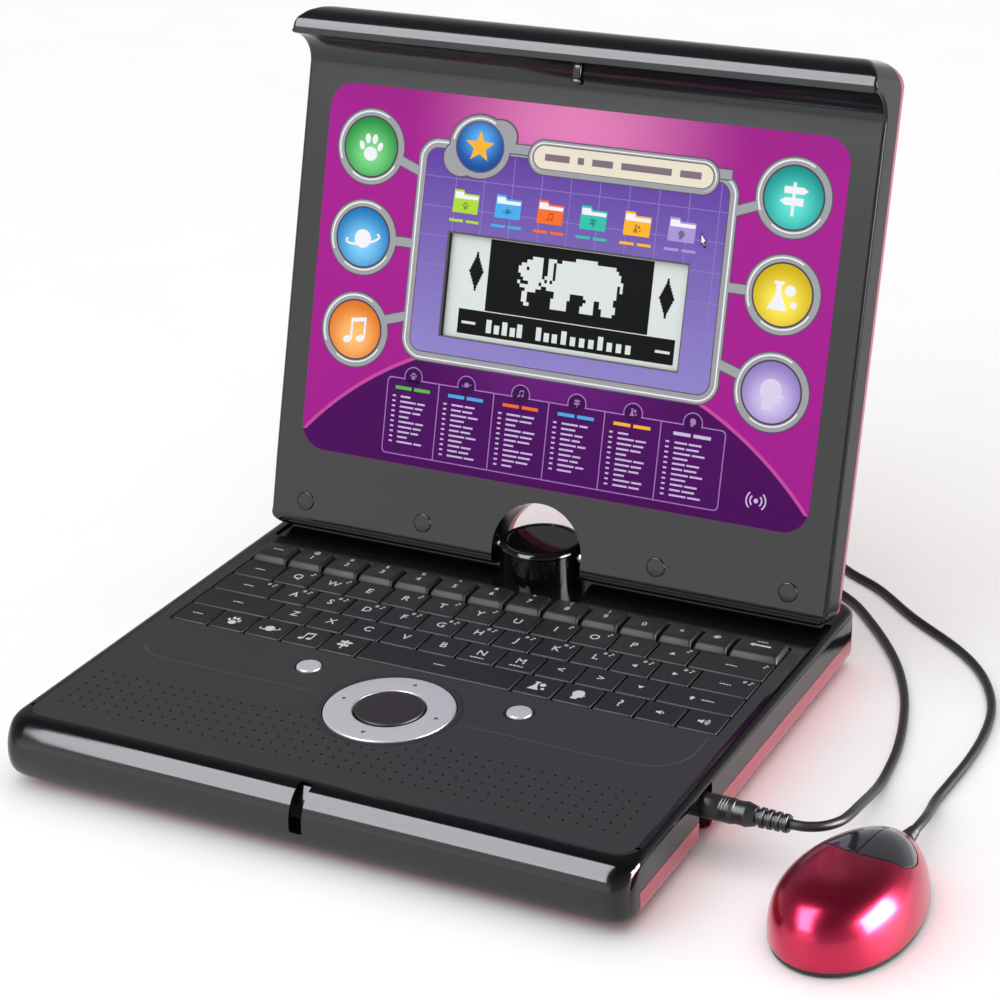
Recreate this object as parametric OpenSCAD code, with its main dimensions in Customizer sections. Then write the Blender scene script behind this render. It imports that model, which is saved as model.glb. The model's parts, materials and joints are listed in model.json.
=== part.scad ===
// Toy laptop computer with a corded mouse: base with keys, hinged lid with a display, mouse on a lead.
// Origin: centre of the base's footprint on the table. +X right, +Y towards the back, +Z up.
// The lid stands open; it turns about a bar through the round post behind the keys.

/* [Base] */
// Width of the base
base_w = 282; // [270:1:300]
// Depth of the base, front to back
base_d = 246; // [240:1:260]
// Height of the palm rest above the table
base_top = 29; // [28:0.5:32]
// Height of the rubber feet that lift the shell
foot_h = 4; // [3:0.5:5]
// Thickness of the moulded shells
wall = 2.4; // [2:0.1:2.6]
// Height of the seam between the black upper and the pink lower shell
seam_z = 15.3; // [14:0.1:17]
// Corner radius of the base in plan
corner_r = 9; // [6:0.5:12]
// Radius of the upper side edges
edge_r = 3.5; // [2:0.5:4]

/* [Keys] */
// Width of a standard key place
key_pitch = 18.6; // [18.4:0.1:18.6]
// Depth of a row of keys
row_pitch = 16.5; // [16:0.1:16.6]
// Gap between neighbouring key caps
key_gap = 0.9; // [0.7:0.1:1.4]
// Y of the front edge of the front row
keys_front = -13.4; // [-14:0.1:-13]
// How far the caps stand above the palm rest
key_proud = 0.3; // [0:0.1:0.8]
// Extra height of the back row
back_row_rise = 2.2; // [1:0.1:2.5]
// Travel of a key
key_travel = 2; // [1:0.1:2]

/* [Controls] */
// Y of the centre of the round direction pad
pad_y = -47.5; // [-49:0.5:-46]
// Radius of the silver ring of the pad
ring_r = 27.4; // [25:0.1:28]
// Radius of the button in its middle
centre_r = 14.8; // [13:0.1:15]
// X of the two small round buttons, either side
round_x = 49.8; // [46:0.1:54]
// Y of the two small round buttons
round_y = -28.5; // [-30:0.5:-27]
// Radius of the small round buttons
round_r = 5.5; // [5:0.1:6]

/* [Hinge and lid] */
// Y of the hinge axis
hinge_y = 93.2; // [92:0.1:95]
// Height of the hinge axis
hinge_z = 40.3; // [40:0.1:42]
// How far the open lid leans back from upright
lid_lean = 15.85; // [10:0.05:20]
// Radius of the round post that carries the lid
post_r = 19.2; // [18:0.1:19.5]
// Height of the top of the post
post_top = 46.4; // [45:0.1:47]
// Radius of the arch in the lid that clears the post
arch_r = 22.3; // [22:0.1:24]
// Width of the lid
lid_w = 279; // [270:1:282]
// Height of the lid above the hinge axis
lid_up = 232.4; // [230:0.1:236]
// Depth of the lid below the hinge axis
lid_down = 9.6; // [9:0.1:9.8]
// Distance from the hinge axis to the face of the lid
face_y = 6.5; // [6:0.1:7]
// Thickness of the lid
lid_t = 19.5; // [19:0.1:20]
// Thickness of the pink back cover's rim
cover_t = 4.6; // [4:0.1:6]
// How far the lip along the top edge reaches forward
lip = 17.6; // [15:0.1:18]
// Radius of the hinge pins
pin_r = 3; // [2.5:0.1:3.5]

/* [Display] */
// Width of the printed panel
art_w = 252; // [240:1:254]
// Height of the printed panel
art_h = 170; // [160:1:172]
// Height of the panel's centre above the hinge axis
art_z = 114; // [112:0.5:116]
// Width of the display window
lcd_w = 117; // [110:1:120]
// Height of the display window
lcd_h = 46.6; // [40:0.1:48]
// Height of the window's centre above the hinge axis
lcd_z = 114; // [112:0.5:116]

/* [Mouse] */
// X of the middle of the mouse
mouse_x = 210.5; // [205:0.5:215]
// Y of the middle of the mouse
mouse_y = -71.5; // [-76:0.5:-68]
// Length of the mouse
mouse_l = 88; // [84:1:90]
// Width of the mouse
mouse_w = 52; // [50:1:54]
// Height of the mouse
mouse_h = 28; // [26:0.5:30]

/* [Hidden] */

big = 400;
gap = 0.3;
front_y = -base_d / 2;
side_x = base_w / 2;
shell_bottom = foot_h;
// the rounded front: the nose is two quarter ellipses, deeper above than below
nose_ry = 11.5;
nose_rz = 14;
chin_ry = 6;
skirt_y = front_y + 12;
bottom_r = 5;
arc_steps = 10;
// the shallow trough behind the keys, where the lid's lower edge turns
trough_y0 = hinge_y - 13;
trough_y1 = hinge_y + 15;
trough_z = base_top - 1.2;
// the keyboard well
keys_w = 14 * key_pitch;
well_x = keys_w / 2 + 0.4;
well_y0 = keys_front - 0.4;
well_y1 = keys_front + 5 * row_pitch + 0.4;
// heights inside the base, from the board up
board_z = 13.4;
board_t = 1.6;
membrane_z = board_z + board_t;
membrane_t = 1.2;
dome_h = 2;
plate_z = 22.4;
plate_t = 1.6;
cap_z = plate_z + plate_t + key_travel + 0.4;
stem_w = 4;
stem_z = membrane_z + membrane_t + dome_h + key_travel + 0.3;
// battery bay: two pairs of AA cells, end to end
cell_r = 7.2;
cell_l = 50.5;
bay_x = 58;
bay_y0 = -108;
bay_y1 = -76;
bay_top = 21;
// jack and plug, on the right side near the front
jack_y = -49.5;
jack_z = 19.5;
notch_half = 6.4;
notch_x = 133.5;
plug_r = 5.15;
plug_end = 176;
// latch groove in the front and the hook in the lip that goes into it
groove_w = 6;
hook_w = 4;
screw_spots = [[-58.6, 3.6], [58.6, 3.6], [-121, 3.6], [121, 3.6]];
base_screw_spots = [[-128, -86], [128, -86], [-128, -30], [128, -30], [-98, 113], [98, 113]];
foot_spots = [[-118, -98], [118, -98], [0, 0], [-118, 104], [118, 104]];
// widths of the keys, row by row from the front; each row adds up to the keyboard's width
u = key_pitch;
ROWS = [
    [u, u, u, u, u, 4 * u, u, u, u, u, u],
    [39.4, u, u, u, u, u, u, u, u, u, u, keys_w - 39.4 - 10 * u],
    [29.2, u, u, u, u, u, u, u, u, u, u, u, keys_w - 29.2 - 11 * u],
    [21, u, u, u, u, u, u, u, u, u, u, u, keys_w - 21 - 11 * u],
    [u, u, u, u, u, u, u, u, u, u, u, 16.4, 16.4, keys_w - 11 * u - 32.8]];
// the mouse stands turned a little, in degrees
mouse_turn = 6;
// the mouse's lead: diameter and the points it runs through, from the plug to the mouse
cord_d = 4;
CORD = [[plug_end, jack_y, jack_z], [182.2, -48.6, 19.4], [188.2, -44.8, 19.1],
    [192.2, -37.6, 18.3], [193, -28, 16.6], [192.2, -17.5, 13.8], [191, -5.5, 10.1],
    [189.8, 6, 6.6], [188.6, 18, 3.6], [187.3, 31, 2.3], [184.8, 51, 2.1], [179, 76, 2],
    [170.5, 101, 2], [157.5, 127, 2], [138, 154.5, 2], [116, 178, 2], [84, 194, 2], [48, 200, 2],
    [30, 206, 2], [20, 217, 2], [20, 230, 2], [30, 241, 2], [48, 244, 2], [70, 235, 2],
    [90, 219, 2], [108.5, 204, 2], [128, 191.5, 2], [151, 170.5, 2], [178.5, 149.3, 2],
    [194, 133, 2], [204.5, 115.5, 2], [211, 97, 2], [214, 76, 2], [214.5, 55, 2], [213.4, 34, 2.1],
    [212.6, 18, 2.5], [214.2, 5.5, 4.9], [215.9, -5, 8.1], [216.4, -14.2, 9.9],
    [mouse_x + (mouse_l / 2 + 7.3) * sin(mouse_turn), mouse_y + (mouse_l / 2 + 7.3) * cos(mouse_turn), 10]];

// ---- shapes that are used again ----

module rounded_plate(w, d, r, h) {
    linear_extrude(h) union() {
        square([w - 2 * r, d], center = true);
        square([w, d - 2 * r], center = true);
        for (sx = [-1, 1], sy = [-1, 1]) translate([sx * (w / 2 - r), sy * (d / 2 - r)]) circle(r, $fn = 48);
    }
}

function arc(cx, cy, rx, ry, a0, a1, n) =
    [for (i = [0:n]) let (a = a0 + (a1 - a0) * i / n) [cx + rx * cos(a), cy + ry * sin(a)]];

// outline of the base seen from the side, drawn i inside the outer surface
function base_side(i) = concat(
    [[-front_y - i, shell_bottom + i + 2], [-front_y - i, base_top - i - 2], [-front_y - i - 2, base_top - i]],
    arc(front_y + nose_ry, base_top - nose_rz, nose_ry - i, nose_rz - i, 90, 180, arc_steps),
    arc(front_y + chin_ry, base_top - nose_rz, chin_ry - i, base_top - nose_rz - shell_bottom - i,
        180, 270, arc_steps),
    [[-front_y - i - 2, shell_bottom + i]]);

// outline of the base seen from the front, drawn i inside the outer surface
function base_front(i) = let (x = side_x - i, t = base_top - i, b = shell_bottom + i,
        re = max(edge_r - i, 0.6), rb = max(bottom_r - i, 0.6)) concat(
    arc(x - re, t - re, re, re, 0, 90, 6), arc(-x + re, t - re, re, re, 90, 180, 6),
    arc(-x + rb, b + rb, rb, rb, 180, 270, 6), arc(x - rb, b + rb, rb, rb, 270, 360, 6));

module base_block(i) {
    intersection() {
        rounded_plate(base_w - 2 * i, base_d - 2 * i, corner_r - i, base_top + 1);
        rotate([90, 0, 90]) translate([0, 0, -big / 2]) linear_extrude(big) polygon(base_side(i));
        rotate([90, 0, 0]) translate([0, 0, -big / 2]) linear_extrude(big) polygon(base_front(i));
    }
}

// where the upper shell reaches: everything above the seam, and the whole rounded front
module upper_zone() {
    translate([-big / 2, -big / 2, seam_z]) cube([big, big, big]);
    translate([-big / 2, -big / 2, -1]) cube([big, skirt_y + big / 2, big]);
}

// a pocket for the plug in the right side, and its walls when grow is set
module plug_notch(grow) {
    translate([notch_x - grow, jack_y - notch_half - grow, -1])
        cube([20 + grow, 2 * (notch_half + grow), base_top - wall - 0.2 + 1 + 0.1 * grow]);
}

module jack_hole() translate([notch_x - 6, jack_y, jack_z]) rotate([0, 90, 0]) cylinder(r = 4.1, h = 8, $fn = 48);

module groove() {
    translate([-groove_w / 2, front_y - 1, base_top - 17]) cube([groove_w, 12, 18]);
}

// ---- base ----

module base_upper_shell() color("#1b1b1d") {
    difference() {
        intersection() {
            union() {
                difference() {
                    base_block(0);
                    base_block(wall);
                }
                intersection() {
                    base_block(0.1);
                    plug_notch(2);
                }
            }
            upper_zone();
        }
        translate([-well_x, well_y0, plate_z + plate_t]) cube([2 * well_x, well_y1 - well_y0, 20]);
        translate([0, pad_y, 20]) cylinder(r = ring_r + 0.5, h = 20, $fn = 96);
        for (s = [-1, 1]) translate([s * round_x, round_y, 20]) cylinder(r = round_r + 0.4, h = 20, $fn = 48);
        translate([-side_x + 3, trough_y0, trough_z]) cube([base_w - 6, trough_y1 - trough_y0, 10]);
        translate([0, hinge_y, trough_z]) cylinder(r = post_r, h = 20, $fn = 128);
        translate([0, hinge_y, 20]) cylinder(r = 8, h = 20, $fn = 48);
        plug_notch(0);
        jack_hole();
        translate([-groove_w / 2 - 2, front_y - 1, base_top - 19]) cube([groove_w + 4, 14, 22]);
    }
    // screw towers
    for (p = base_screw_spots) if (p[1] > skirt_y) translate([p[0], p[1], seam_z])
        difference() {
            cylinder(r = 3.6, h = base_top - wall - seam_z + 0.2, $fn = 32);
            translate([0, 0, -1]) cylinder(r = 1.2, h = 10, $fn = 24);
        }
}

module base_lower_shell() color("#b8304f") {
    difference() {
        union() {
            difference() {
                base_block(0);
                base_block(wall);
                upper_zone();
            }
            // walls and roof of the battery bay
            translate([-bay_x - 1.6, bay_y0 - 1.6, shell_bottom + 0.2])
                cube([2 * bay_x + 3.2, bay_y1 - bay_y0 + 3.2, bay_top + 1.4 - shell_bottom]);
            // towers for the shell screws
            for (p = base_screw_spots) translate([p[0], p[1], shell_bottom + 0.2])
                cylinder(r = 3.6, h = seam_z - shell_bottom - 0.3, $fn = 32);
            translate([0, bay_y1 + 6, shell_bottom + 0.2]) cylinder(r = 4, h = 8, $fn = 32);
            intersection() {
                base_block(0.1);
                plug_notch(2);
                translate([0, 0, -1]) cube([big, big, 2 * (seam_z + 1)], center = true);
            }
        }
        plug_notch(0);
        translate([-bay_x, bay_y0, 0]) cube([2 * bay_x, bay_y1 - bay_y0, bay_top]);
        // seat for the door's screw tab
        translate([-8, bay_y1 - 1, 0]) cube([16, 13, shell_bottom + 1.6]);
        translate([0, bay_y1 + 6, 0]) cylinder(r = 1.3, h = 12, $fn = 24);
        for (p = base_screw_spots) translate([p[0], p[1], 0]) {
            cylinder(r = 1.6, h = 20, $fn = 24);
            cylinder(r = 3, h = shell_bottom + 5, $fn = 32);
        }
        for (p = foot_spots) translate([p[0], p[1], 0]) cylinder(r = 8, h = shell_bottom + 1, $fn = 48);
    }
}

module base_screws() color("silver") {
    for (p = base_screw_spots) translate([p[0], p[1], shell_bottom + 3.2]) {
        cylinder(r = 2.8, h = 1.8, $fn = 32);
        cylinder(r = 1.15, h = 16, $fn = 24);
    }
}

module rubber_feet() color("#2a2a2a") {
    for (p = foot_spots) translate([p[0], p[1], 0]) {
        cylinder(r = 7.9, h = shell_bottom + 0.95, $fn = 48);
    }
}

module battery_door() color("#b8304f") {
    difference() {
        union() {
            translate([-bay_x + gap, bay_y0 + gap, shell_bottom])
                cube([2 * (bay_x - gap), bay_y1 - bay_y0 - 2 * gap, 2]);
            translate([-8 + gap, bay_y1 - 2, shell_bottom]) cube([16 - 2 * gap, 13.5, 1.5]);
        }
        translate([0, bay_y1 + 6, 0]) cylinder(r = 1.7, h = 12, $fn = 24);
        // finger ribs
        for (k = [0:3]) translate([-12, bay_y0 + 6 + 4 * k, shell_bottom - 1]) cube([24, 1.6, 1.7]);
    }
}

module battery_door_screw() color("silver") {
    translate([0, bay_y1 + 6, shell_bottom - 1.3]) {
        cylinder(r = 2.8, h = 1.3, $fn = 32);
        cylinder(r = 1.25, h = 9, $fn = 24);
    }
}

module battery_cells() color("#4a6a8a") {
    for (sx = [-1, 1], k = [0, 1])
        translate([sx * (cell_l / 2 + 1), bay_y0 + 8.4 + 15.2 * k, shell_bottom + 2.2 + cell_r])
            rotate([0, 90, 0]) {
                cylinder(r = cell_r, h = cell_l - 1.5, center = true, $fn = 64);
                translate([0, 0, (k == 0 ? 1 : -1) * (cell_l - 1.5) / 2])
                    cylinder(r = 2.7, h = 2.4, center = true, $fn = 32);
            }
}

module battery_contacts() color("#c9ccd0") {
    for (sx = [-1, 1], k = [0, 1])
        translate([sx * (bay_x - 1.1), bay_y0 + 8.4 + 15.2 * k, shell_bottom + 2.2 + cell_r])
            rotate([0, sx * -90, 0]) translate([0, 0, -0.8]) cylinder(r1 = 5, r2 = 3, h = 5.2, $fn = 32);
}

module hinge_post() color("#101012") {
    difference() {
        union() {
            translate([0, hinge_y, trough_z]) cylinder(r = post_r, h = post_top - trough_z, $fn = 128);
            translate([0, hinge_y, base_top - wall - 3]) cylinder(r = 7.8, h = 6, $fn = 48);
        }
        translate([0, hinge_y, 10]) cylinder(r = 6, h = post_top - 13, $fn = 48);
        translate([0, hinge_y, hinge_z]) rotate([0, 90, 0])
            cylinder(r = pin_r, h = 2 * post_r + 2, center = true, $fn = 48);
    }
}

module hinge_pins() color("silver") {
    for (s = [-1, 1]) translate([s * 22.5, hinge_y, hinge_z]) rotate([0, 90, 0])
        difference() {
            cylinder(r = pin_r, h = 24, center = true, $fn = 48);
            cylinder(r = 1.4, h = 30, center = true, $fn = 24);
        }
}

// ---- inside the base ----

module main_board() color("#2f7a4a") {
    translate([-124, well_y0 + 1, board_z]) cube([248, well_y1 - well_y0 - 2, board_t]);
    // processor under its blob of resin, and a row of solder pads along the back edge
    translate([30, 20, board_z - 1.4]) cylinder(r = 7, h = 1.5, $fn = 48);
    for (k = [0:7]) translate([-60 + 10 * k, well_y1 - 6, board_z - 2.4]) cube([6, 3, 2.5]);
}

module key_membrane() color("#c8c8c2") {
    translate([-128, well_y0 + 0.6, membrane_z]) cube([256, well_y1 - well_y0 - 1.2, membrane_t]);
    for (r = [0:4], k = [0:len(ROWS[r]) - 1])
        translate([key_x(r, k), row_y(r), membrane_z + membrane_t - 0.1])
            cylinder(r1 = 4, r2 = 2.6, h = dome_h + 0.1, $fn = 24);
}

module key_guide_plate() color("#26262a") {
    difference() {
        translate([-well_x - 1, well_y0 - 1, plate_z]) cube([2 * well_x + 2, well_y1 - well_y0 + 2, plate_t]);
        for (r = [0:4], k = [0:len(ROWS[r]) - 1])
            translate([key_x(r, k) - stem_w / 2 - 0.25, row_y(r) - stem_w / 2 - 0.25, plate_z - 1])
                cube([stem_w + 0.5, stem_w + 0.5, plate_t + 2]);
    }
}

module speaker() color("#303034") {
    translate([-92, -80, 9]) {
        difference() {
            cylinder(r = 20, h = 6, $fn = 64);
            translate([0, 0, 2]) cylinder(r = 17.5, h = 6, $fn = 64);
        }
        translate([0, 0, -2.5]) cylinder(r = 11, h = 2.6, $fn = 48);
        translate([0, 0, 1.9]) cylinder(r1 = 6, r2 = 16.5, h = 3.6, $fn = 48);
    }
}

module mouse_jack() color("#141416") {
    translate([notch_x - 2.3, jack_y, jack_z]) difference() {
        union() {
            rotate([0, 90, 0]) cylinder(r = 3.9, h = 2.2, $fn = 48);
            translate([-12, -5.5, -4]) cube([12, 11, 9]);
        }
        translate([-13, 0, 0]) rotate([0, 90, 0]) cylinder(r = 1.8, h = 20, $fn = 32);
    }
}

module front_catch() color("#1b1b1d") {
    difference() {
        intersection() {
            base_block(0.2);
            translate([-groove_w / 2 - 1.8, front_y - 1, base_top - 18.8]) cube([groove_w + 3.6, 13.6, 30]);
        }
        groove();
        translate([-2.6, front_y + 9.4, base_top - wall - 6]) cube([5.2, 10, 4.2]);
    }
}

// ---- round controls on the palm rest ----

module dpad_carrier() color("#55565a") {
    translate([0, pad_y, 22.6]) difference() {
        cylinder(r = ring_r - 6, h = 1.4, $fn = 64);
        translate([0, 0, -1]) cylinder(r = centre_r - 3, h = 4, $fn = 64);
    }
}

module dpad_ring() color("#c3c6ca") {
    translate([0, pad_y, base_top - 3.4]) difference() {
        union() {
            cylinder(r = ring_r, h = 3.4, $fn = 128);
            cylinder(r = ring_r - 0.6, h = 4, $fn = 128);
        }
        translate([0, 0, -1]) cylinder(r = centre_r + 0.5, h = 8, $fn = 96);
        translate([0, 0, -1]) cylinder(r = ring_r - 2.4, h = 2.6, $fn = 96);
    }
}

module centre_button() color("#26272a") {
    translate([0, pad_y, 0]) {
        translate([0, 0, base_top - 3]) cylinder(r = centre_r, h = 4.2, $fn = 96);
        translate([0, 0, 22]) cylinder(r = 4, h = base_top - 24.9, $fn = 32);
    }
}

module round_button(s) {
    translate([s * round_x, round_y, 0]) {
        translate([0, 0, base_top - 3]) cylinder(r = round_r, h = 4, $fn = 64);
        translate([0, 0, 22]) cylinder(r = 2, h = base_top - 24.9, $fn = 32);
    }
}
module left_round_button() color("#c9ccd0") round_button(-1);
module right_round_button() color("#c9ccd0") round_button(1);

// ---- keys ----

function sum(v, n) = n <= 0 ? 0 : v[n - 1] + sum(v, n - 1);
function key_x(r, k) = -keys_w / 2 + sum(ROWS[r], k) + ROWS[r][k] / 2;
function row_y(r) = keys_front + (r + 0.5) * row_pitch;

// key k of row r: a cap on a square stem; the back row is taller, with a sloping front
module key(r, k) color("#2b2c2f") {
    w = ROWS[r][k] - key_gap;
    d = row_pitch - key_gap;
    top = base_top + key_proud + (r == 4 ? back_row_rise : 0);
    translate([key_x(r, k), row_y(r), 0]) {
        if (r == 4)
            rotate([90, 0, 90]) translate([0, 0, -w / 2]) linear_extrude(w)
                polygon([[-d / 2, cap_z], [d / 2, cap_z], [d / 2, top], [-d / 2 + 2.4, top],
                    [-d / 2, top - back_row_rise]]);
        else
            translate([-w / 2, -d / 2, cap_z]) cube([w, d, top - cap_z]);
        translate([-stem_w / 2, -stem_w / 2, stem_z]) cube([stem_w, stem_w, cap_z - stem_z + 0.1]);
    }
}
module keys(r, list) for (k = list) key(r, k);

module key_on_off() key(0, 0);
module key_paw() key(0, 1);
module key_planet() key(0, 2);
module key_music() key(0, 3);
module key_signpost() key(0, 4);
module key_space() key(0, 5);
module key_flask() key(0, 6);
module key_brain() key(0, 7);
module key_help() key(0, 8);
module key_volume_down() key(0, 9);
module key_volume_up() key(0, 10);
module key_down() key(1, 10);
module key_left() key(2, 10);
module key_right() key(2, 11);
module key_enter() key(2, 12);
module key_up() key(3, 11);
module keys_lower_letters() keys(1, [0, 1, 2, 3, 4, 5, 6, 7, 8, 9, 11]);
module keys_middle_letters() keys(2, [for (k = [0:9]) k]);
module keys_upper_letters() keys(3, [0, 1, 2, 3, 4, 5, 6, 7, 8, 9, 10, 12]);
module keys_number_row() keys(4, [for (k = [0:13]) k]);

// ---- lid, drawn upright with the hinge axis along X through its own origin ----

module on_lid() translate([0, hinge_y, hinge_z]) rotate([-lid_lean, 0, 0]) children();

// the lid's section: flat face, hollow curve under the lip, rounded top, turned lower edge
lip_z = lid_up - 26.4;
lip_hollow = 12.6;
lip_top = 11.2;
heel_r = 9.5;
function lid_side(i) = concat(
    arc(-face_y + 6, -lid_down + 6, 6 - i, 6 - i, 270, 180, 6),
    [for (j = [0:arc_steps]) let (a = 90 * j / arc_steps)
        [-face_y - lip + (lip + i) * cos(a), lip_z + (lip_hollow + i) * sin(a)]],
    [for (j = [0:arc_steps]) let (a = 90 * j / arc_steps)
        [-face_y - (lip - i + 0.2) * cos(a), lid_up - lip_top + (lip_top - i) * sin(a)]],
    arc(lid_t - face_y - 8, lid_up - 6, 8 - i, 6 - i, 90, 0, 6),
    arc(lid_t - face_y - heel_r, -lid_down + heel_r, heel_r - i, heel_r - i, 0, -90, arc_steps));

module lid_outline(i) {
    top_r = 13 - i;
    foot_r = 7 - i;
    x = lid_w / 2 - i;
    union() {
        translate([-x, -lid_down + i + foot_r]) square([2 * x, lid_up + lid_down - 2 * i - foot_r - top_r]);
        translate([-x + top_r, lid_up / 2]) square([2 * (x - top_r), lid_up / 2 - i]);
        translate([-x + foot_r, -lid_down + i]) square([2 * (x - foot_r), 20]);
        for (s = [-1, 1]) {
            translate([s * (x - top_r), lid_up - i - top_r]) circle(top_r, $fn = 64);
            translate([s * (x - foot_r), -lid_down + i + foot_r]) circle(foot_r, $fn = 64);
        }
    }
}

module lid_block(i) {
    intersection() {
        rotate([90, 0, 90]) translate([0, 0, -big / 2]) linear_extrude(big) polygon(lid_side(i));
        rotate([90, 0, 0]) translate([0, 0, -big / 2]) linear_extrude(big) lid_outline(i);
    }
}

module arch(r) {
    rotate([90, 0, 0]) cylinder(r = r, h = 120, center = true, $fn = 96);
    translate([-r, -60, -40]) cube([2 * r, 120, 40]);
}

module behind(y) translate([-big / 2, y, -big / 2]) cube([big, big, 2 * big]);

split_y = lid_t - face_y - cover_t;

module lid_bezel() color("#17171a") on_lid() {
    difference() {
        union() {
            difference() {
                lid_block(0);
                lid_block(wall);
                behind(split_y);
            }
            // the wall round the arch, and the bosses that turn on the pins
            intersection() {
                lid_block(0.1);
                difference() {
                    arch(arch_r + wall);
                    behind(split_y);
                }
            }
            for (s = [-1, 1]) translate([s * (arch_r + 6.5), 0, 0]) rotate([0, 90, 0])
                cylinder(r = 6, h = 13, center = true, $fn = 48);
        }
        arch(arch_r);
        rotate([0, 90, 0]) cylinder(r = pin_r + 0.05, h = 2 * (arch_r + 15), center = true, $fn = 48);
        translate([-lcd_w / 2, -face_y - 1, lcd_z - lcd_h / 2]) cube([lcd_w, wall + 2, lcd_h]);
        translate([-art_w / 2, -face_y - 1, art_z - art_h / 2]) cube([art_w, 1.5, art_h]);
        for (p = screw_spots) translate([p[0], -face_y, p[1]]) rotate([-90, 0, 0]) {
            translate([0, 0, -1]) cylinder(r = 4.2, h = 2, $fn = 32);
            cylinder(r = 2.8, h = 1.9, $fn = 32);
            cylinder(r = 1.4, h = wall + 1, $fn = 24);
        }
        translate([-hook_w / 2 - 0.2, -face_y - 9.6, lip_z + 4]) cube([hook_w + 0.4, 4, 20]);
    }
}

module lid_back_cover() color("#b02a48") on_lid() {
    difference() {
        union() {
            intersection() {
                difference() {
                    lid_block(0);
                    lid_block(wall);
                }
                behind(split_y);
            }
            intersection() {
                lid_block(0.1);
                arch(arch_r + wall);
                behind(split_y);
            }
            // towers for the lid's screws
            for (p = screw_spots) translate([p[0], -face_y + wall + 0.1, p[1]]) rotate([-90, 0, 0])
                cylinder(r = 3, h = lid_t - 2 * wall, $fn = 32);
        }
        arch(arch_r);
        for (p = screw_spots) translate([p[0], -face_y, p[1]]) rotate([-90, 0, 0])
            cylinder(r = 1.15, h = 12, $fn = 24);
    }
}

module artwork_panel() color("#a3238e") on_lid() {
    difference() {
        translate([0, -face_y + 0.5, art_z]) rotate([90, 0, 0]) rounded_plate(art_w, art_h, 12, 0.6);
        translate([-lcd_w / 2, -face_y - 5, lcd_z - lcd_h / 2]) cube([lcd_w, 10, lcd_h]);
    }
}

module lcd_module() color("#d3dbd8") on_lid() {
    translate([-lcd_w / 2 - 3, -face_y + wall + 0.1, lcd_z - lcd_h / 2 - 3]) cube([lcd_w + 6, 3, lcd_h + 6]);
}

module lcd_board() color("#2f7a4a") on_lid() {
    translate([-66, -face_y + wall + 3.3, lcd_z - 32]) cube([132, 1.6, 60]);
}

module display_cable() color("#d8d8d8") on_lid() {
    translate([26, -face_y + wall + 5, 12]) cube([14, 0.6, lcd_z - 36]);
    translate([26, -face_y + wall + 5, 9]) cube([14, 3, 3.2]);
}

module lid_hook() color("#1b1b1d") on_lid() {
    translate([-hook_w / 2, -face_y - 9.4, lip_z + 5.4]) cube([hook_w, 3.6, 9]);
    translate([-hook_w / 2, -face_y - 9.4, lip_z + 3]) cube([hook_w, 5, 2.4]);
}

module lid_screw_caps() color("#26262a") on_lid() {
    for (p = screw_spots) translate([p[0], -face_y - 0.25, p[1]]) rotate([-90, 0, 0])
        cylinder(r = 4.1, h = 1.2, $fn = 32);
}

module lid_screws() color("silver") on_lid() {
    for (p = screw_spots) translate([p[0], -face_y + 1, p[1]]) rotate([-90, 0, 0]) {
        cylinder(r = 2.6, h = 0.8, $fn = 32);
        cylinder(r = 1.1, h = 11, $fn = 24);
    }
}

// ---- mouse, drawn about its own middle with its nose towards +Y ----

module on_mouse() translate([mouse_x, mouse_y, 0]) rotate([0, 0, -mouse_turn]) children();

skirt_h = 3;
// the outline is an egg, narrower at the nose; the body is a dome over it
dome_n = 36;
dome_m = 8;
function egg(a, i) = [(mouse_w / 2 - i) * cos(a) * (1 - 0.15 * sin(a)), (mouse_l / 2 - i) * sin(a)];
function dome_points(i) = concat(
    [for (m = [0:dome_m - 1], k = [0:dome_n - 1]) let (t = 90 * m / dome_m, p = egg(360 * k / dome_n, i))
        [p[0] * pow(cos(t), 0.55), p[1] * pow(cos(t), 0.55) - 5 * sin(t),
            skirt_h + (mouse_h - skirt_h - i) * pow(sin(t), 0.9)]],
    [[0, -5, mouse_h - i]]);
function dome_faces() = concat(
    [[for (k = [0:dome_n - 1]) k]],
    [for (m = [0:dome_m - 2], k = [0:dome_n - 1]) let (a = m * dome_n + k, b = m * dome_n + (k + 1) % dome_n)
        [a, a + dome_n, b + dome_n, b]],
    [for (k = [0:dome_n - 1]) let (r = (dome_m - 1) * dome_n)
        [r + k, dome_m * dome_n, r + (k + 1) % dome_n]]);
module dome(i) polyhedron(dome_points(i), dome_faces(), convexity = 4);

// plan of the button cap: round in front, flatter behind, and the height it starts at
cap_low = 12;
module cap_plan(grow) translate([0, 0, cap_low - 3 * grow]) linear_extrude(60) intersection() {
    translate([0, 11]) circle(18 + grow, $fn = 64);
    translate([0, 29.5]) circle(30 + grow, $fn = 96);
}

module mouse_top_shell() color("#c02058") on_mouse() {
    difference() {
        dome(0);
        translate([0, 0, -0.01]) dome(2);
        cap_plan(0.5);
        translate([0, 20, 10]) rotate([-90, 0, 0]) cylinder(r = 3.1, h = 40, $fn = 32);
    }
}

module mouse_base() color("#1d1d20") on_mouse() {
    difference() {
        translate([0, 0, 0.6]) linear_extrude(skirt_h - 0.7) polygon([for (k = [0:47]) egg(360 * k / 48, 0.8)]);
        translate([0, 0, 1.9]) linear_extrude(4) polygon([for (k = [0:47]) egg(360 * k / 48, 2.6)]);
        cylinder(r = 6, h = 4, $fn = 48);
    }
}

module mouse_button(s) intersection() {
    difference() {
        dome(0);
        dome(2);
    }
    cap_plan(0);
    translate([s > 0 ? 0.4 : -40.4, -60, 0]) cube([40, 120, 60]);
}
module mouse_left_button() color("#2c2c33") on_mouse() mouse_button(-1);
module mouse_right_button() color("#2c2c33") on_mouse() mouse_button(1);

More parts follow.
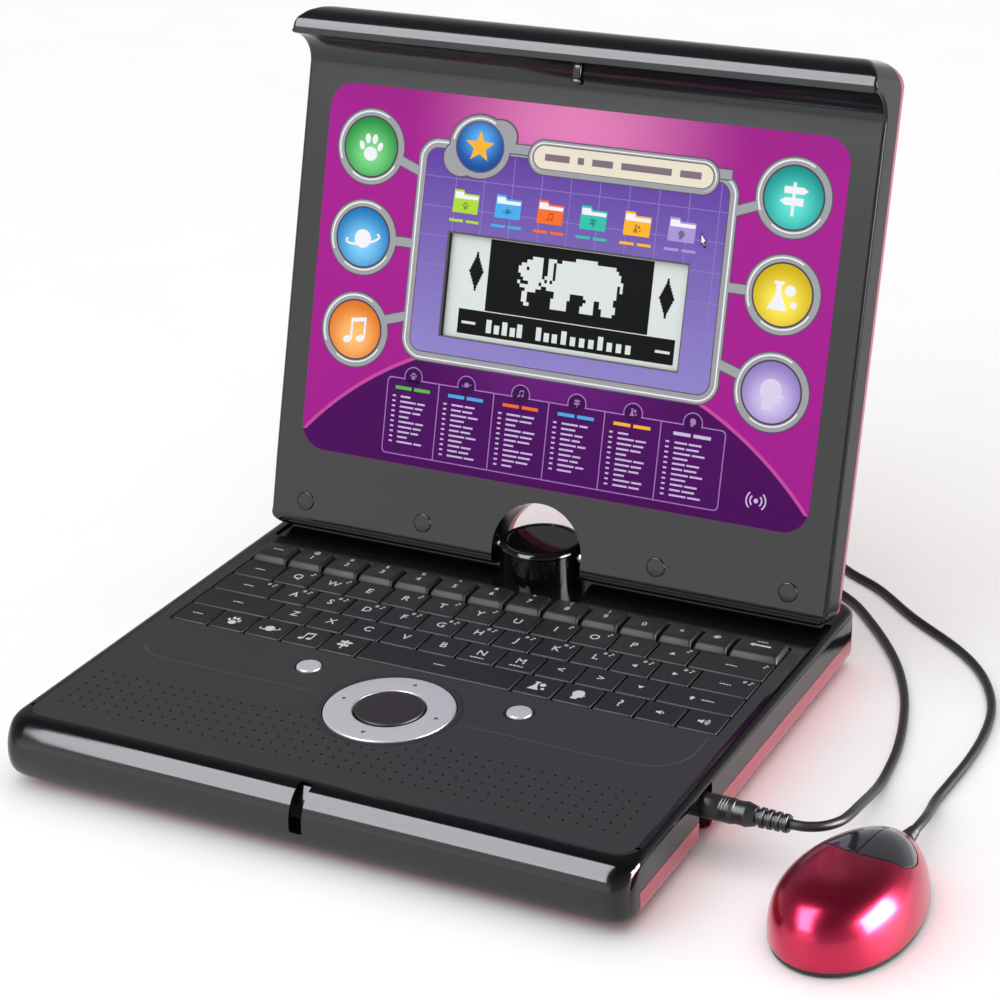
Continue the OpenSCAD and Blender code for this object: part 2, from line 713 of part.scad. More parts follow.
module mouse_board() color("#2f7a4a") on_mouse() {
    translate([-16, -20, 4.4]) cube([32, 44, 1.4]);
    for (s = [-1, 1]) translate([s * 9, 16, 5.7]) cube([6, 6, 4], center = false);
    translate([-4.5, -4.5, 5.7]) cube([9, 9, 3]);
}

module mouse_glides() color("#e4e4e2") on_mouse() {
    for (s = [-1, 1]) translate([0, s * 32, 0]) rounded_plate(16, 5, 2.4, 0.6);
}

module mouse_grommet() color("#1b1b1d") on_mouse() {
    translate([0, mouse_l / 2 - 4, 10]) rotate([-90, 0, 0]) {
        cylinder(r = 3, h = 4.5, $fn = 32);
        translate([0, 0, 4.4]) cylinder(r1 = 3.4, r2 = 2.6, h = 6.6, $fn = 32);
    }
}

// ---- lead and plug ----

module plug_body() color("#1b1b1d") {
    translate([0, jack_y, jack_z]) rotate([0, 90, 0]) {
        translate([0, 0, notch_x + 1.2]) cylinder(r = plug_r, h = 19, $fn = 64);
        translate([0, 0, notch_x + 20.2]) cylinder(r = plug_r - 0.3, h = 4.6, $fn = 64);
        translate([0, 0, notch_x + 24.8]) cylinder(r1 = plug_r, r2 = 4, h = 4, $fn = 64);
        translate([0, 0, notch_x + 28.8]) cylinder(r = 3.2, h = plug_end - notch_x - 28.8, $fn = 48);
        for (k = [0:3]) translate([0, 0, notch_x + 30.4 + 3.2 * k])
            cylinder(r = 4 - 0.12 * k, h = k == 3 ? 2.5 : 2.2, $fn = 48);
    }
}

module plug_pin() color("#d0b060") {
    translate([notch_x - 12, jack_y, jack_z]) rotate([0, 90, 0]) cylinder(r = 1.75, h = 13.2, $fn = 32);
}

// points of a smooth curve through the lead's places, and the tube round it
cord_steps = 2;
function curve(p, i, t) = let (n = len(p) - 1, a = p[max(i - 1, 0)], b = p[i], c = p[min(i + 1, n)],
        d = p[min(i + 2, n)])
    0.5 * (2 * b + (c - a) * t + (2 * a - 5 * b + 4 * c - d) * t * t + (3 * b - a - 3 * c + d) * t * t * t);
function cord_path() = concat(
    [for (i = [0:len(CORD) - 2], j = [0:cord_steps - 1]) curve(CORD, i, j / cord_steps)],
    [CORD[len(CORD) - 1]]);
function unit(v) = v / norm(v);
cord_sides = 8;
module tube(p, r) {
    n = len(p);
    points = [for (i = [0:n - 1]) let (
            f = unit(p[min(i + 1, n - 1)] - p[max(i - 1, 0)]),
            s = unit(cross(f, [0, 0, 1])),
            v = cross(s, f))
        for (k = [0:cord_sides - 1]) let (a = 360 * (k + 0.5) / cord_sides)
            p[i] + r * (cos(a) * s + sin(a) * v)];
    faces = concat(
        [[for (k = [cord_sides - 1:-1:0]) k]],
        [for (i = [0:n - 2], k = [0:cord_sides - 1]) let (a = i * cord_sides + k,
                b = i * cord_sides + (k + 1) % cord_sides)
            [a, b, b + cord_sides, a + cord_sides]],
        [[for (k = [0:cord_sides - 1]) (n - 1) * cord_sides + k]]);
    polyhedron(points, faces, convexity = 10);
}
module mouse_cord() color("#1d1d1f") tube(cord_path(), cord_d / 2);

base_upper_shell();
base_lower_shell();
base_screws();
rubber_feet();
battery_door();
battery_door_screw();
battery_cells();
battery_contacts();
hinge_post();
hinge_pins();
main_board();
key_membrane();
key_guide_plate();
speaker();
mouse_jack();
front_catch();
dpad_carrier();
dpad_ring();
centre_button();
left_round_button();
right_round_button();
key_on_off();
key_paw();
key_planet();
key_music();
key_signpost();
key_space();
key_flask();
key_brain();
key_help();
key_volume_down();
key_volume_up();
key_up();
key_left();
key_right();
key_down();
key_enter();
keys_number_row();
keys_upper_letters();
keys_middle_letters();
keys_lower_letters();
lid_bezel();
lid_back_cover();
artwork_panel();
lcd_module();
lcd_board();
display_cable();
lid_hook();
lid_screw_caps();
lid_screws();
mouse_top_shell();
mouse_base();
mouse_left_button();
mouse_right_button();
mouse_board();
mouse_glides();
mouse_grommet();
mouse_cord();
plug_body();
plug_pin();
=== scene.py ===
"""Toy laptop computer with a corded mouse: the looks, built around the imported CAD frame."""
import json
import math

import bmesh
import bpy
from mathutils import Matrix, Vector

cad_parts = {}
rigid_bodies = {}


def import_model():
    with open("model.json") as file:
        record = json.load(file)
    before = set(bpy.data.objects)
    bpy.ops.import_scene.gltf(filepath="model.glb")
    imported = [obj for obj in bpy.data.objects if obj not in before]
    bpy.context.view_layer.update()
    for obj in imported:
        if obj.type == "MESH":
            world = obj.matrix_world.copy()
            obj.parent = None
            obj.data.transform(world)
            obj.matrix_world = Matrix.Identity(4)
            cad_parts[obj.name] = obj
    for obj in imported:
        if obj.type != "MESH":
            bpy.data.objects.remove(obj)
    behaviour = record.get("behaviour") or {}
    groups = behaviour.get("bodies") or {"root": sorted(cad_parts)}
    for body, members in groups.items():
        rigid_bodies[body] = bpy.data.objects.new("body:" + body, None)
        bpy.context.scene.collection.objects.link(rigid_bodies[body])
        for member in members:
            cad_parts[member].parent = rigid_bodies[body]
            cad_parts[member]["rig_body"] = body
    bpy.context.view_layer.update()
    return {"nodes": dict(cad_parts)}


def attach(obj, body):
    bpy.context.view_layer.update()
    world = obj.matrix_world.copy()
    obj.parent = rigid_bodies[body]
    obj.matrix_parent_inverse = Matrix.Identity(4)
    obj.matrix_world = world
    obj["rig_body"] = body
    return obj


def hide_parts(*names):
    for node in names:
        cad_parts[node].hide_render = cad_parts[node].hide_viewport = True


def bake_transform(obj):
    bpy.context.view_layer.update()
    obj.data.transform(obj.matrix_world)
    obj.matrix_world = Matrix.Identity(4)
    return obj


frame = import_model()
NODES = frame["nodes"]
MM = 0.001
scene = bpy.context.scene


# ---------------------------------------------------------------- camera
CAM_AT = Vector((0.47272, -0.83702, 0.52792))
CAM_RIGHT = Vector((0.90267, 0.43012, -0.01381))
CAM_UP = Vector((-0.15957, 0.36434, 0.91750))
CAM_FORWARD = Vector((-0.39966, 0.82599, -0.39751))
cam_data = bpy.data.cameras.new("camera")
cam = bpy.data.objects.new("camera", cam_data)
scene.collection.objects.link(cam)
cam.matrix_world = Matrix.Translation(CAM_AT) @ Matrix((
    (CAM_RIGHT.x, CAM_UP.x, -CAM_FORWARD.x),
    (CAM_RIGHT.y, CAM_UP.y, -CAM_FORWARD.y),
    (CAM_RIGHT.z, CAM_UP.z, -CAM_FORWARD.z))).to_4x4()
cam_data.sensor_width = 36.0
cam_data.lens = 91.6
cam_data.shift_x = -0.086
cam_data.shift_y = -0.0223
cam_data.clip_end = 20.0
scene.camera = cam

# ---------------------------------------------------------------- sizes, in mm as in the part's source
BASE_W, BASE_D, BASE_TOP, BASE_LOW = 282.0, 246.0, 29.0, 4.0
SEAM_Z, CORNER_R, EDGE_R, BOTTOM_R = 15.3, 9.0, 3.5, 5.0
FRONT_Y = -BASE_D / 2
NOSE_RY, NOSE_RZ, CHIN_RY = 11.5, 14.0, 6.0
KEY_PITCH, ROW_PITCH, KEY_GAP, KEYS_FRONT = 18.6, 16.5, 0.9, -13.4
KEYS_W = 14 * KEY_PITCH
HINGE_Y, HINGE_Z, LEAN = 93.2, 40.3, math.radians(15.85)
PAD_Y = -47.5
LID_W, LID_UP, LID_DOWN, FACE_Y, LID_T, COVER_T = 279.0, 232.4, 9.6, 6.5, 19.5, 4.6
LIP, ARCH_R = 17.6, 22.3
LIP_Z, LIP_HOLLOW, LIP_TOP, HEEL_R = LID_UP - 26.4, 12.6, 11.2, 9.5
MOUSE_X, MOUSE_Y, MOUSE_L, MOUSE_W, MOUSE_H = 210.5, -71.5, 88.0, 52.0, 28.0
MOUSE_TURN = math.radians(6)
JACK_Y, JACK_Z, NOTCH_X, NOTCH_HALF, PLUG_END, PLUG_R = -49.5, 19.5, 133.5, 6.4, 176.0, 5.15
GROOVE_HALF, GROOVE_DROP = 2.9, 17.0
BUTTON_X, BUTTON_Y = 49.8, -28.5
GROMMET_END = MOUSE_L / 2 + 7.3
CORD_D = 4.0

# ---------------------------------------------------------------- the mouse's lead
CORD = [(PLUG_END, JACK_Y, JACK_Z), (182.2, -48.6, 19.4), (188.2, -44.8, 19.1), (192.2, -37.6, 18.3),
        (193, -28, 16.6), (192.2, -17.5, 13.8), (191, -5.5, 10.1), (189.8, 6, 6.6), (188.6, 18, 3.6),
        (187.3, 31, 2.3), (184.8, 51, 2.1), (179, 76, 2), (170.5, 101, 2), (157.5, 127, 2), (138, 154.5, 2),
        (116, 178, 2), (84, 194, 2), (48, 200, 2), (30, 206, 2), (20, 217, 2), (20, 230, 2), (30, 241, 2),
        (48, 244, 2), (70, 235, 2), (90, 219, 2), (108.5, 204, 2), (128, 191.5, 2), (151, 170.5, 2),
        (178.5, 149.3, 2), (194, 133, 2), (204.5, 115.5, 2), (211, 97, 2), (214, 76, 2), (214.5, 55, 2),
        (213.4, 34, 2.1), (212.6, 18, 2.5), (214.2, 5.5, 4.9), (215.9, -5, 8.1), (216.4, -14.2, 9.9),
        (MOUSE_X + GROMMET_END * math.sin(MOUSE_TURN), MOUSE_Y + GROMMET_END * math.cos(MOUSE_TURN), 10)]


def curve_point(p, i, t):
    """A point on the smooth curve through p, a share t of the way from point i to the next."""
    n = len(p) - 1
    a, b, c, d = (Vector(p[k]) for k in (max(i - 1, 0), i, min(i + 1, n), min(i + 2, n)))
    return 0.5 * (2 * b + (c - a) * t + (2 * a - 5 * b + 4 * c - d) * t ** 2
                  + (3 * b - a - 3 * c + d) * t ** 3)


def smooth_path(p, steps):
    """The curve's points in metres, with steps points between each two given ones."""
    out = [curve_point(p, i, j / steps) * MM for i in range(len(p) - 1) for j in range(steps)]
    return out + [Vector(p[-1]) * MM]


# ---------------------------------------------------------------- mesh tools
LID_MATRIX = (Matrix.Translation((0, HINGE_Y * MM, HINGE_Z * MM)) @ Matrix.Rotation(-LEAN, 4, "X"))
MOUSE_MATRIX = Matrix.Translation((MOUSE_X * MM, MOUSE_Y * MM, 0)) @ Matrix.Rotation(-MOUSE_TURN, 4, "Z")


def put(name, verts, faces, material, matrix=None, smooth=35):
    """A mesh object from points in mm; faces flatter than smooth degrees to each other shade smoothly."""
    data = bpy.data.meshes.new(name)
    data.from_pydata([Vector(v) * MM for v in verts], [], faces)
    return place(name, data, material, matrix, smooth)


def place(name, data, material, matrix=None, smooth=35):
    bm = bmesh.new()
    bm.from_mesh(data)
    bmesh.ops.recalc_face_normals(bm, faces=bm.faces)
    limit = math.radians(smooth)
    for f in bm.faces:
        f.smooth = smooth > 0
    for e in bm.edges:
        e.smooth = len(e.link_faces) == 2 and e.calc_face_angle(0) < limit
    bm.to_mesh(data)
    bm.free()
    obj = bpy.data.objects.new(name, data)
    scene.collection.objects.link(obj)
    if matrix is not None:
        obj.matrix_world = matrix
    if material is not None:
        data.materials.clear()
        data.materials.append(material)
    return obj


def applied(obj, smooth=35):
    """Turns obj's modifiers into its mesh, and marks the sharp edges again."""
    bpy.context.view_layer.update()
    graph = bpy.context.evaluated_depsgraph_get()
    data = bpy.data.meshes.new_from_object(obj.evaluated_get(graph), preserve_all_data_layers=True,
                                           depsgraph=graph)
    name = obj.name
    matrix = obj.matrix_world.copy()
    old = obj.data
    bpy.data.objects.remove(obj)
    if isinstance(old, bpy.types.Mesh):
        bpy.data.meshes.remove(old)
    out = place(name, data, None, matrix, smooth)
    out.name = name
    return out


def bevelled(obj, width, segments=3, angle=40, smooth=35):
    m = obj.modifiers.new("bevel", "BEVEL")
    m.width = width * MM
    m.segments = segments
    m.limit_method = "ANGLE"
    m.angle_limit = math.radians(angle)
    m.harden_normals = False
    m.use_clamp_overlap = True
    m.miter_outer = "MITER_ARC"
    return applied(obj, smooth)


def boolean(obj, cutters, operation="DIFFERENCE", smooth=35):
    """obj with each cutter cut away (or kept); the cutters are removed."""
    for cutter in cutters:
        m = obj.modifiers.new("cut", "BOOLEAN")
        m.operation = operation
        m.object = cutter
        m.solver = "EXACT"
    out = applied(obj, smooth)
    for cutter in cutters:
        bpy.data.objects.remove(cutter)
    return out


def joined(name, objs):
    """One object of several, keeping each one's material."""
    mats, bm = [], bmesh.new()
    for o in objs:
        data = o.data.copy()
        data.transform(o.matrix_world)
        slots = []
        for m in o.data.materials:
            if m not in mats:
                mats.append(m)
            slots.append(mats.index(m))
        for p in data.polygons:
            p.material_index = slots[p.material_index] if slots else 0
        bm.from_mesh(data)
        bpy.data.meshes.remove(data)
    out = bpy.data.meshes.new(name)
    bm.to_mesh(out)
    bm.free()
    for m in mats:
        out.materials.append(m)
    for o in objs:
        bpy.data.objects.remove(o)
    obj = bpy.data.objects.new(name, out)
    scene.collection.objects.link(obj)
    return obj


def block(name, lo, hi, material=None, matrix=None, bevel=0.0, segments=3):
    (x0, y0, z0), (x1, y1, z1) = lo, hi
    v = [(x, y, z) for x in (x0, x1) for y in (y0, y1) for z in (z0, z1)]
    f = [(0, 1, 3, 2), (4, 6, 7, 5), (0, 4, 5, 1), (2, 3, 7, 6), (0, 2, 6, 4), (1, 5, 7, 3)]
    obj = put(name, v, f, material, matrix)
    return bevelled(obj, bevel, segments) if bevel else obj


def lathe(name, profile, material, at=(0, 0, 0), turn=None, steps=96, smooth=35, matrix=None):
    """A solid of revolution about Z: profile holds (radius, height) points in mm, from below upwards."""
    verts, faces, rings = [], [], []
    for r, z in profile:
        if r < 1e-6:
            rings.append([len(verts)])
            verts.append((0, 0, z))
        else:
            rings.append(list(range(len(verts), len(verts) + steps)))
            verts += [(r * math.cos(2 * math.pi * k / steps), r * math.sin(2 * math.pi * k / steps), z)
                      for k in range(steps)]
    for a, b in zip(rings, rings[1:]):
        for k in range(steps):
            j = (k + 1) % steps
            if len(a) == 1 and len(b) == 1:
                continue
            if len(a) == 1:
                faces.append((a[0], b[k], b[j]))
            elif len(b) == 1:
                faces.append((a[k], b[0], a[j]))
            else:
                faces.append((a[k], a[j], b[j], b[k]))
    m = Matrix.Translation(Vector(at) * MM)
    if turn is not None:
        m = m @ turn
    if matrix is not None:
        m = matrix @ m
    return put(name, verts, faces, material, m, smooth)


def arc(cx, cy, rx, ry, a0, a1, n):
    """Points along an ellipse's arc, in degrees from +X."""
    return [(cx + rx * math.cos(math.radians(a0 + (a1 - a0) * i / n)),
             cy + ry * math.sin(math.radians(a0 + (a1 - a0) * i / n))) for i in range(n + 1)]


def rounded_outline(x0, y0, x1, y1, r, n=8):
    """A rectangle with round corners, anticlockwise."""
    r = min(r, (x1 - x0) / 2 - 1e-4, (y1 - y0) / 2 - 1e-4)
    return (arc(x1 - r, y0 + r, r, r, -90, 0, n) + arc(x1 - r, y1 - r, r, r, 0, 90, n)
            + arc(x0 + r, y1 - r, r, r, 90, 180, n) + arc(x0 + r, y0 + r, r, r, 180, 270, n))


def prism(name, outline, lo, hi, material=None, axis="z", matrix=None, smooth=35):
    """An outline drawn out between lo and hi; axis x takes (y, z) points, y takes (x, z), z takes (x, y)."""
    def at(p, h):
        return {"x": (h, p[0], p[1]), "y": (p[0], h, p[1]), "z": (p[0], p[1], h)}[axis]
    n = len(outline)
    verts = [at(p, lo) for p in outline] + [at(p, hi) for p in outline]
    faces = [tuple(range(n)), tuple(range(n, 2 * n))] + [(k, (k + 1) % n, n + (k + 1) % n, n + k)
                                                         for k in range(n)]
    return put(name, verts, faces, material, matrix, smooth)


def plate(name, outer, holes, low, high, material, matrix=None, rotate=None):
    """A flat plate with real holes: outer and holes are lists of (x, y) in mm."""
    curve = bpy.data.curves.new(name, "CURVE")
    curve.dimensions = "2D"
    curve.fill_mode = "BOTH"
    curve.extrude = (high - low) / 2 * MM
    for outline in [outer] + holes:
        s = curve.splines.new("POLY")
        s.points.add(len(outline) - 1)
        for p, (x, y) in zip(s.points, outline):
            p.co = (x * MM, y * MM, 0, 1)
        s.use_cyclic_u = True
    tmp = bpy.data.objects.new(name + "_curve", curve)
    scene.collection.objects.link(tmp)
    bpy.context.view_layer.update()
    data = bpy.data.meshes.new_from_object(tmp.evaluated_get(bpy.context.evaluated_depsgraph_get()))
    bpy.data.objects.remove(tmp)
    bpy.data.curves.remove(curve)
    data.transform(Matrix.Translation((0, 0, (low + high) / 2 * MM)))
    if rotate is not None:
        data.transform(rotate)
    bm = bmesh.new()
    bm.from_mesh(data)
    bmesh.ops.remove_doubles(bm, verts=bm.verts, dist=1e-6)
    bm.to_mesh(data)
    bm.free()
    return place(name, data, material, matrix, 30)


def circle(x, y, r, n=24):
    return [(x + r * math.cos(2 * math.pi * k / n), y + r * math.sin(2 * math.pi * k / n)) for k in range(n)]


def strip(points, half):
    """The outline of a line of the given half width along points, open at both ends."""
    left, right = [], []
    n = len(points)
    for i, p in enumerate(points):
        a, b = points[max(i - 1, 0)], points[min(i + 1, n - 1)]
        d = Vector((b[0] - a[0], b[1] - a[1])).normalized()
        left.append((p[0] - d.y * half, p[1] + d.x * half))
        right.append((p[0] + d.y * half, p[1] - d.x * half))
    return left + right[::-1]


def sweep(name, path, radius, material, sides=16):
    """A round tube with closed ends along points in metres; radius is in mm."""
    n = len(path)
    verts, faces, normal = [], [], Vector((0, 0, 1))
    for i, p in enumerate(path):
        d = (path[min(i + 1, n - 1)] - path[max(i - 1, 0)]).normalized()
        side = d.cross(normal).normalized()
        up = side.cross(d)
        for k in range(sides):
            a = 2 * math.pi * (k + 0.5) / sides
            verts.append((p + (side * math.cos(a) + up * math.sin(a)) * radius * MM) / MM)
    for i in range(n - 1):
        for k in range(sides):
            j = (k + 1) % sides
            faces.append((i * sides + k, i * sides + j, (i + 1) * sides + j, (i + 1) * sides + k))
    faces += [tuple(range(sides)), tuple(range((n - 1) * sides, n * sides))]
    return put(name, verts, faces, material)


# ---------------------------------------------------------------- materials
def colour(value):
    """A hex colour as linear numbers."""
    c = [int(value[i:i + 2], 16) / 255 for i in (1, 3, 5)]
    return tuple(v / 12.92 if v < 0.04045 else ((v + 0.055) / 1.055) ** 2.4 for v in c) + (1.0,)


def finish(name, base, rough=0.4, metallic=0.0, coat=0.0, coat_rough=0.05, vary=0.08, grain=900.0, bump=0.02,
           rough_vary=0.05, specular=0.5):
    """Moulded plastic, metal or rubber: fine grain in the bump, with slow drifts of colour and roughness."""
    mat = bpy.data.materials.new(name)
    mat.use_nodes = True
    nodes, links = mat.node_tree.nodes, mat.node_tree.links
    shader = nodes["Principled BSDF"]
    place_ = nodes.new("ShaderNodeTexCoord")
    slow = nodes.new("ShaderNodeTexNoise")
    slow.inputs["Scale"].default_value = 14.0
    slow.inputs["Detail"].default_value = 4.0
    links.new(place_.outputs["Object"], slow.inputs["Vector"])
    rgb = colour(base) if isinstance(base, str) else base
    mix = nodes.new("ShaderNodeMix")
    mix.data_type = "RGBA"
    mix.inputs[6].default_value = tuple(c * (1 - vary) for c in rgb[:3]) + (1,)
    mix.inputs[7].default_value = tuple(min(c * (1 + vary), 1) for c in rgb[:3]) + (1,)
    links.new(slow.outputs["Fac"], mix.inputs[0])
    links.new(mix.outputs[2], shader.inputs["Base Color"])
    span = nodes.new("ShaderNodeMapRange")
    span.inputs["To Min"].default_value = max(rough - rough_vary, 0.01)
    span.inputs["To Max"].default_value = rough + rough_vary
    fine = nodes.new("ShaderNodeTexNoise")
    fine.inputs["Scale"].default_value = grain
    fine.inputs["Detail"].default_value = 3.0
    links.new(place_.outputs["Object"], fine.inputs["Vector"])
    links.new(slow.outputs["Fac"], span.inputs["Value"])
    links.new(span.outputs["Result"], shader.inputs["Roughness"])
    if bump:
        b = nodes.new("ShaderNodeBump")
        b.inputs["Strength"].default_value = bump
        b.inputs["Distance"].default_value = 0.0002
        links.new(fine.outputs["Fac"], b.inputs["Height"])
        links.new(b.outputs["Normal"], shader.inputs["Normal"])
    shader.inputs["Metallic"].default_value = metallic
    shader.inputs["Coat Weight"].default_value = coat
    shader.inputs["Coat Roughness"].default_value = coat_rough
    shader.inputs["Specular IOR Level"].default_value = specular
    return mat


def shaded(value, share):
    """A hex colour as linear numbers, made darker or lighter by share."""
    return tuple(c * share for c in colour(value)[:3]) + (1.0,)


PRINT_SHADE = 1.05


def drive(mat, value, low, high, share=1.0):
    """The material's colour runs from low to high as value, a node's output, goes from 0 to 1."""
    nodes, links = mat.node_tree.nodes, mat.node_tree.links
    mix = nodes.new("ShaderNodeMix")
    mix.data_type = "RGBA"
    mix.inputs[6].default_value = shaded(low, share)
    mix.inputs[7].default_value = shaded(high, share)
    links.new(value, mix.inputs[0])
    links.new(mix.outputs[2], nodes["Principled BSDF"].inputs["Base Color"])
    return mat


def printed(name, value):
    """Ink on the lid's panel, with almost no shine of its own."""
    return finish(name, value, 0.4, vary=0.02, bump=0.0, specular=0.04)


def glowing(name, edge, middle, centre, radius):
    """A print that is lightest round one place on the lid's face and fades to its edge colour."""
    mat = printed(name, edge)
    nodes, links = mat.node_tree.nodes, mat.node_tree.links
    at = nodes.new("ShaderNodeTexCoord")
    flat = nodes.new("ShaderNodeVectorMath")
    flat.operation = "MULTIPLY"
    flat.inputs[1].default_value = (1, 0, 1)
    links.new(at.outputs["Object"], flat.inputs[0])
    gap = nodes.new("ShaderNodeVectorMath")
    gap.operation = "DISTANCE"
    gap.inputs[1].default_value = (centre[0], 0, centre[1])
    links.new(flat.outputs["Vector"], gap.inputs[0])
    span = nodes.new("ShaderNodeMapRange")
    span.interpolation_type = "SMOOTHSTEP"
    span.inputs["From Min"].default_value = radius
    span.inputs["From Max"].default_value = 0.0
    links.new(gap.outputs["Value"], span.inputs["Value"])
    return drive(mat, span.outputs["Result"], edge, middle, PRINT_SHADE)


def run_along(mat, axis, start, stop, blend="LINEAR"):
    """A node whose result runs from one value to another between two places on an axis, in metres."""
    nodes, links = mat.node_tree.nodes, mat.node_tree.links
    at = nodes.new("ShaderNodeTexCoord")
    parts = nodes.new("ShaderNodeSeparateXYZ")
    links.new(at.outputs["Object"], parts.inputs["Vector"])
    span = nodes.new("ShaderNodeMapRange")
    span.interpolation_type = blend
    span.inputs["From Min"].default_value = start
    span.inputs["From Max"].default_value = stop
    links.new(parts.outputs[axis], span.inputs["Value"])
    return span


def graded(name, low, high, z0, z1):
    """A print whose colour runs evenly up the lid's face, from low at z0 to high at z1, in metres."""
    mat = printed(name, low)
    return drive(mat, run_along(mat, "Z", z0, z1).outputs["Result"], low, high, PRINT_SHADE)


# painted shade: a darker, less shiny copy of the lid's black, put on the lid's side faces
LID_SIDE_SHADE = finish("lid_side_black", "#0d0d0f", 0.2, bump=0.0, specular=0.12)
PLUG_BLACK = finish("plug_black", "#1d1d20", 0.32, vary=0.04, grain=2200, bump=0.08)
LID_BLACK = finish("lid_black", "#161618", 0.13, bump=0.0, rough_vary=0.01)
SATIN = finish("satin_black", "#1b1a1c", 0.46, vary=0.06, grain=1600, bump=0.12, rough_vary=0.03)
GLOSS = finish("gloss_black", "#0b0b0d", 0.1, bump=0.0, rough_vary=0.015)
KEY = finish("key_grey", "#161618", 0.46, vary=0.05, grain=1500, bump=0.06, specular=0.35)
PINK = finish("pink_pearl", "#b5173f", 0.3, metallic=0.55, coat=0.8, grain=5000, bump=0.05)
MOUSE_PINK = finish("mouse_pink", "#bd2549", 0.24, metallic=0.95, coat=0.35, coat_rough=0.16, grain=6000,
                    bump=0.02, vary=0.03)
SILVER = finish("silver_plastic", "#c3c4c8", 0.36, metallic=0.35, grain=2500, bump=0.05)
STEEL = finish("screw_steel", "#9a9a9c", 0.25, metallic=1.0, grain=2500, bump=0.1)
RUBBER = finish("foot_rubber", "#1c1c1c", 0.8, grain=1500, bump=0.3)
LEAD = finish("cord_rubber", "#161618", 0.42, grain=2200, bump=0.15)
DARK = finish("dark_plastic", "#151517", 0.5, grain=1500, bump=0.15)
GREY = finish("grey_plastic", "#3a3b3e", 0.5, grain=1500, bump=0.15)
BOARD = finish("circuit_board", "#1f6a3c", 0.45, grain=1200, bump=0.1, vary=0.2)
MEMBRANE = finish("membrane_rubber", "#b8b8b0", 0.7, grain=1200, bump=0.2)
BATTERY = finish("battery_wrap", "#3f5f86", 0.3, metallic=0.3, coat=0.5, vary=0.2)
BRASS = finish("spring_brass", "#c9b07a", 0.28, metallic=1.0, grain=2500, bump=0.1)
CABLE = finish("cable_grey", "#c9c9c9", 0.5)
WHITE_INK = finish("white_ink", "#c4c4c4", 0.5, bump=0.05, vary=0.03)
DISPLAY = finish("display_glass", "#cfd8d4", 0.3, vary=0.03, bump=0.0)
SMOKE = finish("smoke_plastic", "#1b1d24", 0.1, coat=1.0, coat_rough=0.02, bump=0.0)
GLIDE = finish("glide_white", "#dcdcda", 0.4)


GLOSS_FROM, GLOSS_TO = 0.052, 0.072


def deck_finish():
    """The deck's black: satin on the palm rest and round the keys, going over to gloss behind them."""
    mat = finish("deck_black", "#19181a", 0.5, vary=0.05, grain=1600, bump=0.1, specular=0.4)
    zone = run_along(mat, "Y", GLOSS_FROM, GLOSS_TO, "SMOOTHSTEP")
    zone.inputs["To Min"].default_value = 0.5
    zone.inputs["To Max"].default_value = 0.12
    mat.node_tree.links.new(zone.outputs["Result"],
                            mat.node_tree.nodes["Principled BSDF"].inputs["Roughness"])
    tone = run_along(mat, "Y", GLOSS_FROM, GLOSS_TO)
    return drive(mat, tone.outputs["Result"], "#272728", "#0c0c0d")


DECK = deck_finish()

# ---------------------------------------------------------------- the lead, its plug and the grommet
route = smooth_path(CORD, 6)
lead = sweep("mouse_lead", route, CORD_D / 2, LEAD, sides=16)
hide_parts("mouse_cord")
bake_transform(lead)


# ---------------------------------------------------------------- base: the moulded shells
def nose_inset(z):
    """How far the front stands back from its foremost line at height z."""
    mid = BASE_TOP - NOSE_RZ
    if z >= mid:
        return NOSE_RY * (1 - math.sqrt(max(1 - ((z - mid) / NOSE_RZ) ** 2, 0)))
    return CHIN_RY * (1 - math.sqrt(max(1 - ((mid - z) / (mid - BASE_LOW)) ** 2, 0)))


def side_inset(z):
    if z > BASE_TOP - EDGE_R:
        return EDGE_R * (1 - math.sqrt(max(1 - ((z - BASE_TOP + EDGE_R) / EDGE_R) ** 2, 0)))
    if z < BASE_LOW + BOTTOM_R:
        return BOTTOM_R * (1 - math.sqrt(max(1 - ((BASE_LOW + BOTTOM_R - z) / BOTTOM_R) ** 2, 0)))
    return 0.0


SIDE_YS = list(range(-104, 105, 8))


def base_ring(z, grow=0.0):
    """The base's outline at height z, anticlockwise from the front left, with points along the sides."""
    fy = FRONT_Y + nose_inset(z) - grow
    sx = BASE_W / 2 - side_inset(z) + grow
    by = BASE_D / 2 - side_inset(z) + grow
    r = CORNER_R + grow
    ring = [(x, fy) for x in range(-130, 131, 10)]
    ring += arc(sx - r, fy + r, r, r, -90, 0, 8)[1:]
    ring += [(sx, y) for y in SIDE_YS]
    ring += arc(sx - r, by - r, r, r, 0, 90, 8)
    ring += [(x, by) for x in range(120, -121, -20)]
    ring += arc(-sx + r, by - r, r, r, 90, 180, 8)
    ring += [(-sx, y) for y in SIDE_YS[::-1]]
    ring += arc(-sx + r, fy + r, r, r, 180, 270, 8)[:-1]
    return ring


def levels(lo, hi):
    """Heights between lo and hi, close together where the section curves."""
    zs = [BASE_TOP - NOSE_RZ + NOSE_RZ * math.sin(math.radians(a)) for a in range(0, 91, 5)]
    zs += [BASE_TOP - NOSE_RZ - (BASE_TOP - NOSE_RZ - BASE_LOW) * math.sin(math.radians(a))
           for a in range(0, 91, 9)]
    zs += [BASE_TOP - EDGE_R + EDGE_R * math.sin(math.radians(a)) for a in range(0, 90, 15)]
    zs += [BASE_LOW + BOTTOM_R - BOTTOM_R * math.sin(math.radians(a)) for a in range(0, 90, 15)]
    zs = sorted(z for z in zs if lo + 0.12 < z < hi - 0.12)
    return [lo] + [z for k, z in enumerate(zs) if k == 0 or z - zs[k - 1] > 0.05] + [hi]


